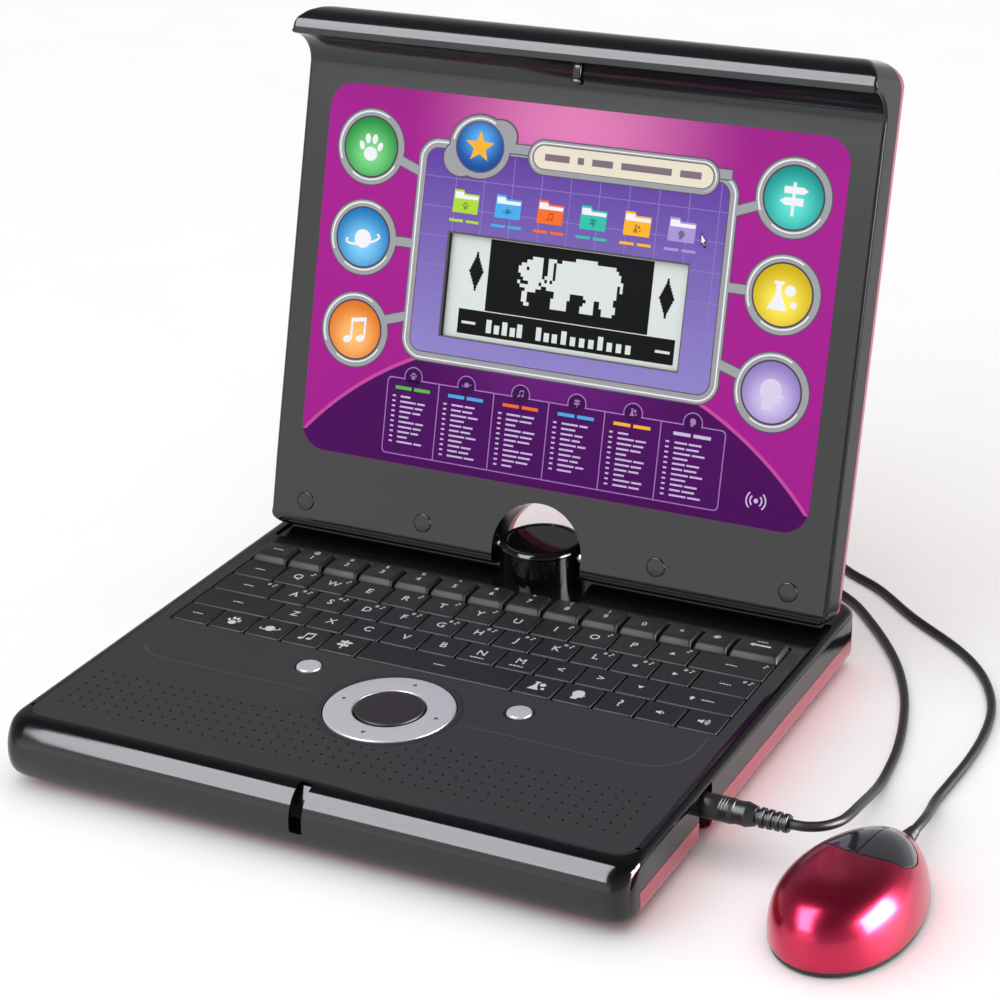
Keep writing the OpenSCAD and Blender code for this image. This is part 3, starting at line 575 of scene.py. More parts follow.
def shell(name, lo, hi, material, wall=1.6):
    """The wall of the base between two heights: a closed tube, its inner skin set in by wall."""
    zs = levels(lo, hi)
    count = len(base_ring(lo))
    verts = [(x, y, z) for grow in (0.0, -wall) for z in zs for x, y in base_ring(z, grow)]
    n, half, faces = len(zs), len(zs) * count, []
    for k in range(count):
        j = (k + 1) % count
        for i in range(n - 1):
            a, b = i * count, (i + 1) * count
            faces.append((a + k, a + j, b + j, b + k))
            faces.append((half + a + j, half + a + k, half + b + k, half + b + j))
        top = (n - 1) * count
        faces.append((j, k, half + k, half + j))
        faces.append((top + k, top + j, half + top + j, half + top + k))
    return put(name, verts, faces, material, smooth=40)


def half_space(y0, y1):
    return block("half", (-300, y0, -20), (300, y1, 60))


SKIRT_Y = FRONT_Y + 12
upper = shell("base_upper_skin", SEAM_Z + 0.15, BASE_TOP, GLOSS)
chin = shell("base_front_skirt", BASE_LOW, SEAM_Z + 0.15, GLOSS)
chin = boolean(chin, [half_space(-300, SKIRT_Y)], "INTERSECT", 40)
lower = shell("base_lower_skin", BASE_LOW, SEAM_Z - 0.15, PINK)
lower = boolean(lower, [half_space(SKIRT_Y + 0.15, 300)], "INTERSECT", 40)


def notch_cutter():
    return block("notch_cut", (NOTCH_X, JACK_Y - NOTCH_HALF, -2),
                 (NOTCH_X + 12, JACK_Y + NOTCH_HALF, BASE_TOP - 2.6), None, None, 1.2)


def groove_cutter():
    return block("groove_cut", (-GROOVE_HALF, FRONT_Y - 3, BASE_TOP - GROOVE_DROP),
                 (GROOVE_HALF, FRONT_Y + 11.4, BASE_TOP + 4), None, None, 0.8)


upper = boolean(upper, [notch_cutter(), groove_cutter()], smooth=40)
chin = boolean(chin, [groove_cutter()], smooth=40)
lower = boolean(lower, [notch_cutter()], smooth=40)

# the deck: a plate with real holes for the keys, the pad, the buttons, the post and the speaker
HOLE_PITCH, HOLE_R = 5.75, 0.62
deck_outline = base_ring(BASE_TOP, -1.6)
WELL = (-KEYS_W / 2 - 0.4, KEYS_FRONT - 0.4, KEYS_W / 2 + 0.4, KEYS_FRONT + 5 * ROW_PITCH + 0.4)
TROUGH = (-BASE_W / 2 + 6, HINGE_Y - 13, BASE_W / 2 - 6, HINGE_Y + 15)
deck_holes = [rounded_outline(*WELL, 0.8, 3), circle(0, PAD_Y, 27.9, 96),
              circle(-BUTTON_X, BUTTON_Y, 6.0, 40), circle(BUTTON_X, BUTTON_Y, 6.0, 40),
              rounded_outline(*TROUGH, 2.5, 5)]
for j in range(6):
    for i in range(45):
        x = (i - 22) * HOLE_PITCH - 1.04
        y = -96.5 + 5.756 * j
        if math.hypot(x, y - PAD_Y) > 31:
            deck_holes.append(circle(x, y, HOLE_R, 10))
deck = plate("base_deck", deck_outline, deck_holes, BASE_TOP - 1.6, BASE_TOP, DECK)

# what shows through the holes: the speaker's felt, the trough's floor, the walls of the well
felt = prism("speaker_felt", [(-134, -105), (134, -105), (134, -60)]
             + arc(0, PAD_Y, 30, 30, -24.6, -155.4, 24) + [(-134, -60)], 24.0, 25.2, DARK)
trough = prism("hinge_trough", rounded_outline(*TROUGH, 2.5, 5), BASE_TOP - 2.8, BASE_TOP - 1.2, GLOSS)
well_parts = []
x0, y0, x1, y1 = WELL
for n, (a, b) in enumerate([((x0 - 1.2, y0 - 1.2), (x1 + 1.2, y0)), ((x0 - 1.2, y1), (x1 + 1.2, y1 + 1.2)),
                            ((x0 - 1.2, y0), (x0, y1)), ((x1, y0), (x1 + 1.2, y1))]):
    well_parts.append(block("well_wall%d" % n, (a[0], a[1], 22.4), (b[0], b[1], BASE_TOP - 1.55), DARK))
well = joined("key_well_walls", well_parts)
POCKET_HALF, POCKET_TOP = NOTCH_HALF + 1.2, BASE_TOP - 1.7
notch_back = block("jack_pocket", (NOTCH_X - 1.6, JACK_Y - POCKET_HALF, 5.6),
                   (NOTCH_X, JACK_Y + POCKET_HALF, POCKET_TOP), DARK)
notch_sides = [block("jack_cheek%d" % n, (NOTCH_X - 1.6, y, 6.2), (BASE_W / 2 - 1.2, y + 1.2, POCKET_TOP),
                     DARK) for n, y in enumerate((JACK_Y - POCKET_HALF, JACK_Y + NOTCH_HALF))]
pocket = joined("jack_pocket_walls", [notch_back] + notch_sides)
bottom = plate("base_floor", [(x, y) for x, y in base_ring(BASE_LOW)],
               [rounded_outline(-58, -108, 58, -76, 1.0, 3)]
               + [circle(x, y, 3.0, 24) for x in (-128, 128) for y in (-86, -30)]
               + [circle(x, 113, 3.0, 24) for x in (-98, 98)], BASE_LOW, BASE_LOW + 1.5, PINK)
bottom = boolean(bottom, [notch_cutter()], smooth=40)


def channel(name, depth, x0, x1):
    """A strip of the groove's lining that follows the nose, its front set in by depth."""
    zs = [BASE_TOP - 17.2 + 0.85 * k for k in range(19)]
    pts = [(FRONT_Y + nose_inset(z) + depth, z) for z in zs if nose_inset(z) + depth < 12.2]
    back = FRONT_Y + 12.9
    return prism(name, pts + [(back, pts[-1][1]), (back, zs[0])], x0, x1, GLOSS, "x")


liner = [channel("groove_floor", 5.6, -4.2, 4.2), channel("groove_side0", 0.5, -4.2, -2.95),
         channel("groove_side1", 0.5, 2.95, 4.2),
         block("groove_ledge", (-4.2, FRONT_Y + 1.0, BASE_TOP - 18.4), (4.2, FRONT_Y + 12.9, BASE_TOP - 17.1),
               GLOSS, None, 0.4)]
catch = joined("front_catch_liner", liner)
for piece, node in ((upper, "base_upper_shell"), (lower, "base_lower_shell"), (catch, "front_catch")):
    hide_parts(node)
for piece, slot in ((upper, "satin_black"), (chin, "satin_black"), (deck, "satin_black"),
                    (felt, "grey_plastic"), (trough, "gloss_black"), (well, "grey_plastic"),
                    (pocket, "grey_plastic"), (lower, "pink_pearl"), (bottom, "pink_pearl"),
                    (catch, "gloss_black")):
    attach(piece, "base")
for node, material in (("base_screws", STEEL), ("rubber_feet", RUBBER), ("battery_door", PINK),
                       ("battery_door_screw", STEEL), ("battery_cells", BATTERY), ("battery_contacts", BRASS),
                       ("hinge_pins", STEEL), ("main_board", BOARD), ("key_membrane", MEMBRANE),
                       ("key_guide_plate", DARK), ("speaker", GREY), ("mouse_jack", DARK),
                       ("dpad_carrier", GREY), ("plug_pin", BRASS), ("lcd_board", BOARD),
                       ("display_cable", CABLE), ("lid_screws", STEEL), ("mouse_board", BOARD),
                       ("mouse_glides", GLIDE)):
    NODES[node].data.materials.clear()
    NODES[node].data.materials.append(material)


# ---------------------------------------------------------------- hinge post, pad and buttons
post = lathe("hinge_post_turned", [(0, 27.8), (19.2, 27.8)] + [(19.2, 28 + 0.5 * k) for k in range(34)]
             + arc(16.4, 43.6, 2.8, 2.8, 0, 90, 10) + [(15.6, 46.4), (15.3, 46.0), (0, 46.0)], GLOSS,
             at=(0, HINGE_Y, 0), steps=128, smooth=50)
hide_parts("hinge_post")
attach(post, "base")

dish = lathe("pad_surround", [(27.9, 27.3), (27.9, 28.86)] + arc(29.0, 28.2, 1.1, 0.85, 180, 90, 6)
             + [(30.6, 29.03), (30.9, 28.9), (27.9, 27.3)], SATIN, at=(0, PAD_Y, 0), steps=128)
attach(dish, "base")
ring = lathe("pad_ring_turned", [(15.3, 26.2), (27.3, 26.2)] + arc(26.5, 28.6, 0.9, 0.9, 0, 90, 5)
             + [(24, 29.55), (20, 29.6), (17, 29.5)] + arc(16.1, 28.7, 0.8, 0.8, 90, 180, 5) + [(15.3, 26.2)],
             SILVER, at=(0, PAD_Y, 0), steps=128, smooth=40)
ticks = []
for a in (0, 90, 180, 270):
    d = math.radians(a)
    cx, cy = 21.6 * math.cos(d), PAD_Y + 21.6 * math.sin(d)
    turn_ = Matrix.Rotation(d, 4, "Z")
    tri = [(1.3, 0), (-0.7, 1.1), (-0.7, -1.1)]
    m = Matrix.Translation((cx * MM, cy * MM, 0)) @ turn_
    ticks.append(prism("tick%d" % a, tri, 29.4, 29.66, GREY, matrix=m))
tick = joined("pad_arrows", ticks)
button = lathe("pad_button_turned", [(0, 24.0), (14.4, 24.0), (14.4, 29.0)]
               + arc(13.6, 29.1, 0.9, 0.9, 0, 80, 6) + [(11, 30.1), (7, 30.15), (3, 30.1), (0, 30.05)], SATIN,
               at=(0, PAD_Y, 0), steps=96, smooth=40)
for piece, body, node, slot in ((ring, "dpad_ring", "dpad_ring", "silver_plastic"),
                                (button, "centre_button", "centre_button", "gloss_black")):
    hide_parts(node)
    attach(piece, body)
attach(tick, "dpad_ring")
for s, side in ((-1, "left"), (1, "right")):
    knob = lathe(side + "_button_turned", [(0, 24.0), (5.4, 24.0), (5.4, 28.8)]
                 + arc(4.6, 28.9, 0.8, 0.9, 0, 80, 5) + [(3.5, 29.85), (2, 29.9), (0, 29.9)], SILVER,
                 at=(s * BUTTON_X, BUTTON_Y, 0), steps=64, smooth=40)
    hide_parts(side + "_round_button")
    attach(knob, side + "_round_button")
    well_ring = lathe(side + "_button_well",
                      [(5.75, 26.0), (5.75, 28.7), (6.1, 29.02), (6.6, 29.04), (6.4, 28.5), (5.75, 26.0)],
                      GLOSS, at=(s * BUTTON_X, BUTTON_Y, 0), steps=64)
    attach(well_ring, "base")

# the fine line across the palm rest, as thin ribbons just proud of the deck
lines = []
left_line = [(-36, -46.6), (-60, -46.8), (-90, -47), (-112, -46.8)] + arc(-112, -34.8, 14, 12, 270, 200, 6)
right_line = [(35, -47), (60, -47.4), (90, -47.6), (108, -47.4)] + arc(108, -30, 20, 17.4, -90, 0, 8)
right_line += [(128, -16)]
for n, pts in enumerate((left_line, right_line)):
    lines.append(prism("line%d" % n, strip(pts, 0.35), BASE_TOP - 0.05, BASE_TOP + 0.06, GREY))
engraved = joined("palm_rest_lines", lines)
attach(engraved, "base")


# ---------------------------------------------------------------- flat marks: small solids on a surface
def ellipse(cx, cy, rx, ry, n=20, turn=0.0):
    c, s = math.cos(math.radians(turn)), math.sin(math.radians(turn))
    out = []
    for k in range(n):
        x, y = rx * math.cos(2 * math.pi * k / n), ry * math.sin(2 * math.pi * k / n)
        out.append((cx + x * c - y * s, cy + x * s + y * c))
    return out


def bar(x0, y0, x1, y1, half=0.2):
    return strip([(x0, y0), (x1, y1)], half)


def ring_marks(cx, cy, rx, ry, half, a0=0, a1=360, n=16, turn=0.0):
    """An elliptical ring, or part of one, as short flat pieces."""
    pts = []
    c, s = math.cos(math.radians(turn)), math.sin(math.radians(turn))
    for x, y in arc(0, 0, rx, ry, a0, a1, n):
        pts.append((cx + x * c - y * s, cy + x * s + y * c))
    return [strip(pts[k:k + 2], half) for k in range(n)]


def icon(kind):
    """Outlines of a simple mark about 2 units across, centred on the origin."""
    if kind == "paw":
        return [ellipse(0, -0.35, 0.46, 0.42), ellipse(-0.62, 0.12, 0.17, 0.27, turn=20),
                ellipse(-0.24, 0.55, 0.18, 0.3, turn=6), ellipse(0.24, 0.55, 0.18, 0.3, turn=-6),
                ellipse(0.62, 0.12, 0.17, 0.27, turn=-20)]
    if kind == "planet":
        return [ellipse(0, 0, 0.56, 0.56, 28)] + ring_marks(0, 0, 1.15, 0.3, 0.07, 150, 390, 20, 12)
    if kind == "music":
        return [ellipse(-0.45, -0.55, 0.3, 0.21, turn=20), ellipse(0.45, -0.4, 0.3, 0.21, turn=20),
                bar(-0.2, -0.5, -0.2, 0.7, 0.07), bar(0.7, -0.35, 0.7, 0.85, 0.07),
                [(-0.27, 0.5), (0.77, 0.66), (0.77, 0.92), (-0.27, 0.76)]]
    if kind == "signpost":
        return [bar(0, -0.95, 0, 0.95, 0.09),
                [(-0.6, 0.3), (0.55, 0.3), (0.85, 0.5), (0.55, 0.7), (-0.6, 0.7)],
                [(0.6, -0.35), (-0.5, -0.35), (-0.82, -0.14), (-0.5, 0.08), (0.6, 0.08)]]
    if kind == "flask":
        return [[(-0.85, -0.8), (0.35, -0.8), (-0.08, 0.1), (-0.08, 0.7), (-0.42, 0.7), (-0.42, 0.1)],
                bar(-0.55, 0.75, 0.05, 0.75, 0.09), ellipse(0.45, 0.35, 0.34, 0.34, 8),
                ellipse(0.72, -0.42, 0.22, 0.22, 8)]
    if kind == "head":
        return [ellipse(-0.02, 0.2, 0.66, 0.66, 26),
                [(0.42, 0.2), (0.86, -0.12), (0.62, -0.2), (0.6, -0.5), (0.2, -0.55), (0.2, -0.95),
                 (-0.5, -0.95), (-0.42, -0.2)]]
    if kind == "speaker" or kind == "speaker_loud":
        out = [[(-0.75, -0.25), (-0.35, -0.25), (0.1, -0.6), (0.1, 0.6), (-0.35, 0.25), (-0.75, 0.25)]]
        out += ring_marks(0.05, 0, 0.42, 0.42, 0.07, -45, 45, 5)
        if kind == "speaker_loud":
            out += ring_marks(0.05, 0, 0.72, 0.72, 0.07, -50, 50, 6) + ring_marks(0.05, 0, 1.0, 1.0, 0.07,
                                                                                  -52, 52, 7)
        return out
    if kind == "note":
        return [ellipse(-0.3, -0.6, 0.3, 0.22, 12, 20), bar(-0.06, -0.55, -0.06, 0.7, 0.08),
                [(-0.1, 0.75), (0.55, 0.3), (0.5, -0.05), (0.3, 0.25), (-0.1, 0.42)]]
    if kind == "sharp":
        return [bar(-0.25, -0.7, -0.25, 0.7, 0.08), bar(0.2, -0.6, 0.2, 0.8, 0.08),
                bar(-0.6, -0.35, 0.55, -0.15, 0.11), bar(-0.6, 0.2, 0.55, 0.4, 0.11)]
    if kind == "up":
        return [[(-0.8, -0.55), (0.8, -0.55), (0, 0.75)]]
    if kind == "down":
        return [[(-0.8, 0.55), (0, -0.75), (0.8, 0.55)]]
    if kind == "left":
        return [[(0.6, -0.8), (0.6, 0.8), (-0.8, 0)]]
    if kind == "right":
        return [[(-0.6, -0.8), (0.8, 0), (-0.6, 0.8)]]
    if kind == "back":
        return [[(-1.6, 0), (-0.9, 0.5), (-0.9, 0.2), (1.6, 0.2), (1.6, -0.2), (-0.9, -0.2), (-0.9, -0.5)]]
    if kind == "shift":
        return [[(0, 0.8), (0.75, 0.05), (0.3, 0.05), (0.3, -0.7), (-0.3, -0.7), (-0.3, 0.05), (-0.75, 0.05)]]
    if kind == "word":
        return [bar(-1.9, 0, -1.0, 0, 0.2), bar(-0.8, 0.06, 0.1, 0.06, 0.22), bar(0.3, 0, 1.1, 0, 0.2),
                bar(1.3, 0, 1.9, 0, 0.18)]
    if kind == "burst":
        return [bar(-0.8 * math.cos(a), -0.8 * math.sin(a), 0.8 * math.cos(a), 0.8 * math.sin(a), 0.09)
                for a in (0, math.pi / 4, math.pi / 2, 3 * math.pi / 4)]
    raise ValueError(kind)


def moved(outlines, x, y, scale=1.0):
    return [[(x + px * scale, y + py * scale) for px, py in o] for o in outlines]


def marks(name, outlines, low, high, material, matrix=None, flat="z"):
    """Many outlines as one mesh of thin solids; flat is z for a level surface, y for the lid's face."""
    verts, faces = [], []
    step = 0.0015 if high > low else -0.0015
    for index, o in enumerate(outlines):
        n, base = len(o), len(verts)
        for h in (low, high + step * (index % 7)):
            verts += [(x, y, h) if flat == "z" else (x, h, y) for x, y in o]
        faces += [tuple(base + k for k in range(n)), tuple(base + n + k for k in range(n))]
        faces += [(base + k, base + (k + 1) % n, base + n + (k + 1) % n, base + n + k) for k in range(n)]
    return put(name, verts, faces, material, matrix, 30)


def glyphs(name, items, low, high, material, matrix=None):
    """Letters and digits as thin solids: items are (text, x, y, size), centred."""
    bm = bmesh.new()
    for text, x, y, size in items:
        curve = bpy.data.curves.new("glyph", "FONT")
        curve.body = text
        curve.size = size * MM
        curve.align_x = "CENTER"
        curve.align_y = "CENTER"
        curve.resolution_u = 3
        curve.offset = 0.000008 * size
        curve.extrude = (high - low) / 2 * MM
        tmp = bpy.data.objects.new("glyph", curve)
        scene.collection.objects.link(tmp)
        bpy.context.view_layer.update()
        data = bpy.data.meshes.new_from_object(tmp.evaluated_get(bpy.context.evaluated_depsgraph_get()))
        data.transform(Matrix.Translation((x * MM, y * MM, (low + high) / 2 * MM)))
        bm.from_mesh(data)
        bpy.data.objects.remove(tmp)
        bpy.data.curves.remove(curve)
        bpy.data.meshes.remove(data)
    bmesh.ops.remove_doubles(bm, verts=bm.verts, dist=1e-7)
    data = bpy.data.meshes.new(name)
    bm.to_mesh(data)
    bm.free()
    return place(name, data, material, matrix, 30)


# ---------------------------------------------------------------- keys and their legends
U = KEY_PITCH
ROWS = [[U] * 5 + [4 * U] + [U] * 5,
        [39.4] + [U] * 10 + [KEYS_W - 39.4 - 10 * U],
        [29.2] + [U] * 11 + [KEYS_W - 29.2 - 11 * U],
        [21] + [U] * 11 + [KEYS_W - 21 - 11 * U],
        [U] * 11 + [16.4, 16.4, KEYS_W - 11 * U - 32.8]]
LEGENDS = [["word", "paw", "planet", "music", "signpost", "word", "flask", "head", "'?", "speaker",
            "speaker_loud"], ["word"] + ["'" + c for c in "ZXCVBNM<>"] + ["down", "shift"], ["word"]
           + ["'" + c for c in "ASDFGHJKL"] + ["left", "right", "word"], ["word"]
           + ["'" + c for c in "QWERTYUIOP"] + ["up", "word"], ["word"] + ["'" + c for c in "1234567890"]
           + ["'*", "burst", "back"]]
SHIFTED = "!@#$%^&*()"
NOTES = [[], [], list(range(13)), [1, 2, 4, 5, 6, 8, 9, 11, 12], []]
OWN = {(0, 0): "key_on_off", (0, 1): "key_paw", (0, 2): "key_planet", (0, 3): "key_music",
       (0, 4): "key_signpost", (0, 5): "key_space", (0, 6): "key_flask", (0, 7): "key_brain",
       (0, 8): "key_help", (0, 9): "key_volume_down", (0, 10): "key_volume_up", (1, 10): "key_down",
       (2, 10): "key_left", (2, 11): "key_right", (2, 12): "key_enter", (3, 11): "key_up"}
GROUP = [None, "keys_lower_letters", "keys_middle_letters", "keys_upper_letters", "keys_number_row"]


CAP_FOOT, BACK_ROW_RISE = 25.9, 2.2


def keycap(name, r, k):
    """A moulded cap: straight skirt, rounded shoulder, slightly hollow top; the back row leans in front."""
    xc = -KEYS_W / 2 + sum(ROWS[r][:k]) + ROWS[r][k] / 2
    yc = KEYS_FRONT + (r + 0.5) * ROW_PITCH
    w, d = (ROWS[r][k] - KEY_GAP) / 2, (ROW_PITCH - KEY_GAP) / 2
    top = BASE_TOP + 0.3 + (BACK_ROW_RISE if r == 4 else 0)
    rows = []
    if r == 4:
        for front, side, z in ((0, 0, CAP_FOOT), (0, 0, 28.4), (0.25, 0.15, 29.0), (0.9, 0.5, 30.2),
                               (1.7, 0.9, 31.0), (2.3, 1.2, 31.35), (3.0, 1.6, top)):
            rows.append((front, side, z))
    else:
        for inset, z in ((0, CAP_FOOT), (0, top - 0.9), (0.12, top - 0.45), (0.4, top - 0.12), (0.85, top),
                         (1.5, top - 0.03)):
            rows.append((inset, inset, z))
    verts, faces = [], []
    count = 0
    for front, side, z in rows:
        ring = rounded_outline(xc - w + side, yc - d + front, xc + w - side, yc + d - side * 0.6, 0.9
                               + side * 0.4, 3)
        count = len(ring)
        verts += [(x, y, z) for x, y in ring]
    n = len(rows)
    for i in range(n - 1):
        for q in range(count):
            j = (q + 1) % count
            faces.append((i * count + q, i * count + j, (i + 1) * count + j, (i + 1) * count + q))
    faces += [tuple(range(count)), tuple(range((n - 1) * count, n * count))]
    return put(name, verts, faces, KEY, smooth=60), xc, yc, top


groups = {}
for r in range(5):
    for k in range(len(ROWS[r])):
        node = OWN.get((r, k)) or GROUP[r]
        cap, xc, yc, top = keycap("cap_%d_%d" % (r, k), r, k)
        parts = groups.setdefault(node, {"caps": [], "marks": [], "text": [], "top": top})
        parts["caps"].append(cap)
        kind = LEGENDS[r][k]
        dy = 1.4 if r == 4 else 0.0
        if kind.startswith("'"):
            y = yc + (-1.5 if r == 4 else 0.3) + dy
            parts["text"].append((kind[1:], xc + 0.2, y,
                                  {True: 7.4, False: 6.0}[kind == "'?"] if r < 4 else 4.6))
            if r == 4 and k < 10:
                parts["text"].append((SHIFTED[k], xc + 0.2, yc + 4.9, 3.2))
        else:
            size = {"word": 1.35, "back": 3.0, "up": 1.7, "down": 1.7, "left": 1.7, "right": 1.7,
                    "shift": 1.9, "burst": 2.2, "speaker": 2.6, "speaker_loud": 2.8}.get(kind, 4.1)
            x = xc + (-3.6 if kind == "shift" else 0)
            parts["marks"] += moved(icon(kind), x, yc + dy, size)
            if kind == "shift":
                parts["marks"] += moved(icon("word"), xc + 3.4, yc, 1.5)
            if kind == "back":
                parts["marks"] += moved(icon("word"), xc, yc + 4.6, 1.3)
        if k in NOTES[r]:
            parts["marks"] += moved(icon("note"), xc + ROWS[r][k] / 2 - 3.4, yc + 4.6, 1.75)
            if r == 2:
                parts["marks"] += moved(icon("sharp"), xc + ROWS[r][k] / 2 - 6.4, yc + 4.8, 1.35)
        if (r, k) in ((1, 6), (1, 7)):
            parts["marks"] += moved(icon("word"), xc, yc - 4.2, 1.7)
for node, parts in groups.items():
    caps = joined(node + "_caps", parts["caps"])
    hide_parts(node)
    body = NODES[node]["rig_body"]
    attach(caps, body)
    top = parts["top"]
    if parts["marks"]:
        ink = marks(node + "_marks", parts["marks"], top - 0.05, top + 0.04, WHITE_INK)
        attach(ink, body)
    if parts["text"]:
        ink = glyphs(node + "_letters", parts["text"], top - 0.05, top + 0.04, WHITE_INK)
        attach(ink, body)


# ---------------------------------------------------------------- lid, drawn about the hinge axis
SPLIT_Y = LID_T - FACE_Y - COVER_T
ART_Z, LCD_W, LCD_H = 114.0, 117.0, 46.6
TOP_R, FOOT_R, LID_EDGE = 13.0, 7.0, 1.7
SCREWS = [(-58.6, 3.6), (58.6, 3.6), (-121, 3.6), (121, 3.6)]


def lid_section(i):
    """The lid's side view (y, z), set in by i: flat face, hollow under the lip, round top and turned heel."""
    pts = arc(-FACE_Y + 6, -LID_DOWN + 6, 6 - i, 6 - i, 270, 180, 8)
    pts += [(-FACE_Y, z) for z in (20 + i, 60, 110, 160, LIP_Z - 6)]
    pts[8:] = [(p[0] + i, p[1]) for p in pts[8:]]
    pts += arc(-FACE_Y - LIP, LIP_Z, LIP + i, LIP_HOLLOW + i, 0, 90, 16)
    pts += [(-FACE_Y - (LIP - i + 0.2) * math.cos(math.radians(a)), LID_UP - LIP_TOP
             + (LIP_TOP - i) * math.sin(math.radians(a))) for a in range(0, 91, 5)]
    pts += arc(LID_T - FACE_Y - 8, LID_UP - 6, 8 - i, 6 - i, 90, 0, 10)
    pts += arc(LID_T - FACE_Y - HEEL_R, -LID_DOWN + HEEL_R, HEEL_R - i, HEEL_R - i, 0, -90, 12)
    return pts


def cover_section(i):
    """The back cover's side view (y, z), from the joint round the top, down the back and round the heel."""
    y = SPLIT_Y + 0.12
    a = math.degrees(math.acos((y - LID_T + FACE_Y + 8) / (8 - i)))
    b = math.degrees(math.acos((y - LID_T + FACE_Y + HEEL_R) / (HEEL_R - i)))
    return (arc(LID_T - FACE_Y - 8, LID_UP - 6, 8 - i, 6 - i, a, 0, 9)
            + arc(LID_T - FACE_Y - HEEL_R, -LID_DOWN + HEEL_R, HEEL_R - i, HEEL_R - i, 0, -b, 10))


def lid_casing(name, y_lo, y_hi, material, section=lid_section):
    """The lid between two depths, drawn out across its width with round edges and corners."""
    half = LID_W / 2
    xs = [half - LID_EDGE + LID_EDGE * math.sin(math.radians(a)) for a in range(0, 91, 15)]
    xs += [half - TOP_R + TOP_R * math.sin(math.radians(a)) for a in range(0, 80, 6)]
    xs += [0, 30, 60, 90, 110]
    xs = sorted(set(round(x, 3) for x in xs))
    xs = [-x for x in xs[:0:-1]] + xs
    verts, count = [], 0
    for x in xs:
        d = max(abs(x) - half + LID_EDGE, 0)
        i = LID_EDGE - math.sqrt(max(LID_EDGE ** 2 - d * d, 0))
        t, f = max(abs(x) - half + TOP_R, 0), max(abs(x) - half + FOOT_R, 0)
        top = LID_UP - TOP_R + math.sqrt(max(TOP_R ** 2 - t * t, 0))
        foot = -LID_DOWN + FOOT_R - math.sqrt(max(FOOT_R ** 2 - f * f, 0))
        ring = [(min(max(y, y_lo), y_hi), min(max(z, foot), top)) for y, z in section(i)]
        count = len(ring)
        verts += [(x, y, z) for y, z in ring]
    n = len(xs)
    faces = [tuple(range(count)), tuple(range((n - 1) * count, n * count))]
    for i in range(n - 1):
        for k in range(count):
            j = (k + 1) % count
            faces.append((i * count + k, i * count + j, (i + 1) * count + j, (i + 1) * count + k))
    obj = put(name, verts, faces, material, LID_MATRIX, 40)
    bm = bmesh.new()
    bm.from_mesh(obj.data)
    bmesh.ops.remove_doubles(bm, verts=bm.verts, dist=1e-6)
    bmesh.ops.dissolve_degenerate(bm, edges=bm.edges, dist=1e-6)
    bm.to_mesh(obj.data)
    bm.free()
    return obj


def arch_cutter():
    pts = [(-ARCH_R, -40), (ARCH_R, -40)] + arc(0, 0, ARCH_R, ARCH_R, 0, 180, 64)
    return prism("arch_cut", pts, -60, 60, None, "y", LID_MATRIX)


def drilled(x, z, r, y0, y1):
    return prism("drill", circle(x, z, r, 40), y0, y1, None, "y", LID_MATRIX)


bezel = lid_casing("lid_front_casing", -60, SPLIT_Y - 0.12, LID_BLACK)
cutters = [arch_cutter(),
           block("window_cut", (-LCD_W / 2, -FACE_Y - 1, ART_Z - LCD_H / 2),
                 (LCD_W / 2, -FACE_Y + 2.1, ART_Z + LCD_H / 2), None, LID_MATRIX),
           block("hook_slot", (-2.3, -FACE_Y - 9.9, LIP_Z + 4), (2.3, -FACE_Y - 5.4, LIP_Z + 22), None,
                 LID_MATRIX)]
cutters += [drilled(x, z, 4.5, -FACE_Y - 1, -FACE_Y + 1.0) for x, z in SCREWS]
bezel = boolean(bezel, cutters, smooth=40)
bezel = bevelled(bezel, 0.35, 2, 55, 40)
# the lid's sideways faces take the darker copy of its black: painted shade on the lid's sides
bezel.data.materials.append(LID_SIDE_SHADE)
for face in bezel.data.polygons:
    if abs(face.normal.x) > 0.6:
        face.material_index = 1
flow = bezel.modifiers.new("even_normals", "WEIGHTED_NORMAL")
flow.keep_sharp = True
flow.weight = 100
cover = lid_casing("lid_back_casing", -60, 60, PINK, cover_section)
cover = boolean(cover, [arch_cutter()], smooth=40)
caps = joined("lid_caps_turned",
              [lathe("cap", [(0, -0.9), (4.25, -0.9)] + arc(3.9, 0.0, 0.35, 0.3, 0, 90, 4) + [(0, 0.32)],
                     LID_BLACK, at=(x, -FACE_Y, z), turn=Matrix.Rotation(math.pi / 2, 4, "X"), steps=48,
                     matrix=LID_MATRIX) for x, z in SCREWS])
hook = block("lid_latch_hook", (-2, -FACE_Y - 9.4, LIP_Z + 5.4), (2, -FACE_Y - 5.8, LIP_Z + 14.4), GLOSS,
             LID_MATRIX, 0.7, 3)
hook_root = block("lid_latch_root", (-2, -FACE_Y - 9.4, LIP_Z + 3), (2, -FACE_Y - 4.4, LIP_Z + 5.6), GLOSS,
                  LID_MATRIX, 0.6, 3)
hook = joined("lid_latch", [hook_root, hook])
for piece, node, slot in ((bezel, "lid_bezel", "gloss_black"), (cover, "lid_back_cover", "pink_pearl"),
                          (caps, "lid_screw_caps", "satin_black"), (hook, "lid_hook", "gloss_black")):
    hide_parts(node)
    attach(piece, "lid")


# ---------------------------------------------------------------- the printed panel, in thin layers
V0 = 17.4
PRINTS = []


def layer(name, outlines, k, material, front=-6.6):
    """Flat printed shapes on the panel: outlines in (x, height on the panel), k layers up."""
    shifted = [[(x, v - V0) for x, v in o] for o in outlines]
    obj = marks(name, shifted, front + 0.05, front - 0.03 * k, material, LID_MATRIX, "y")
    PRINTS.append(obj)
    return obj


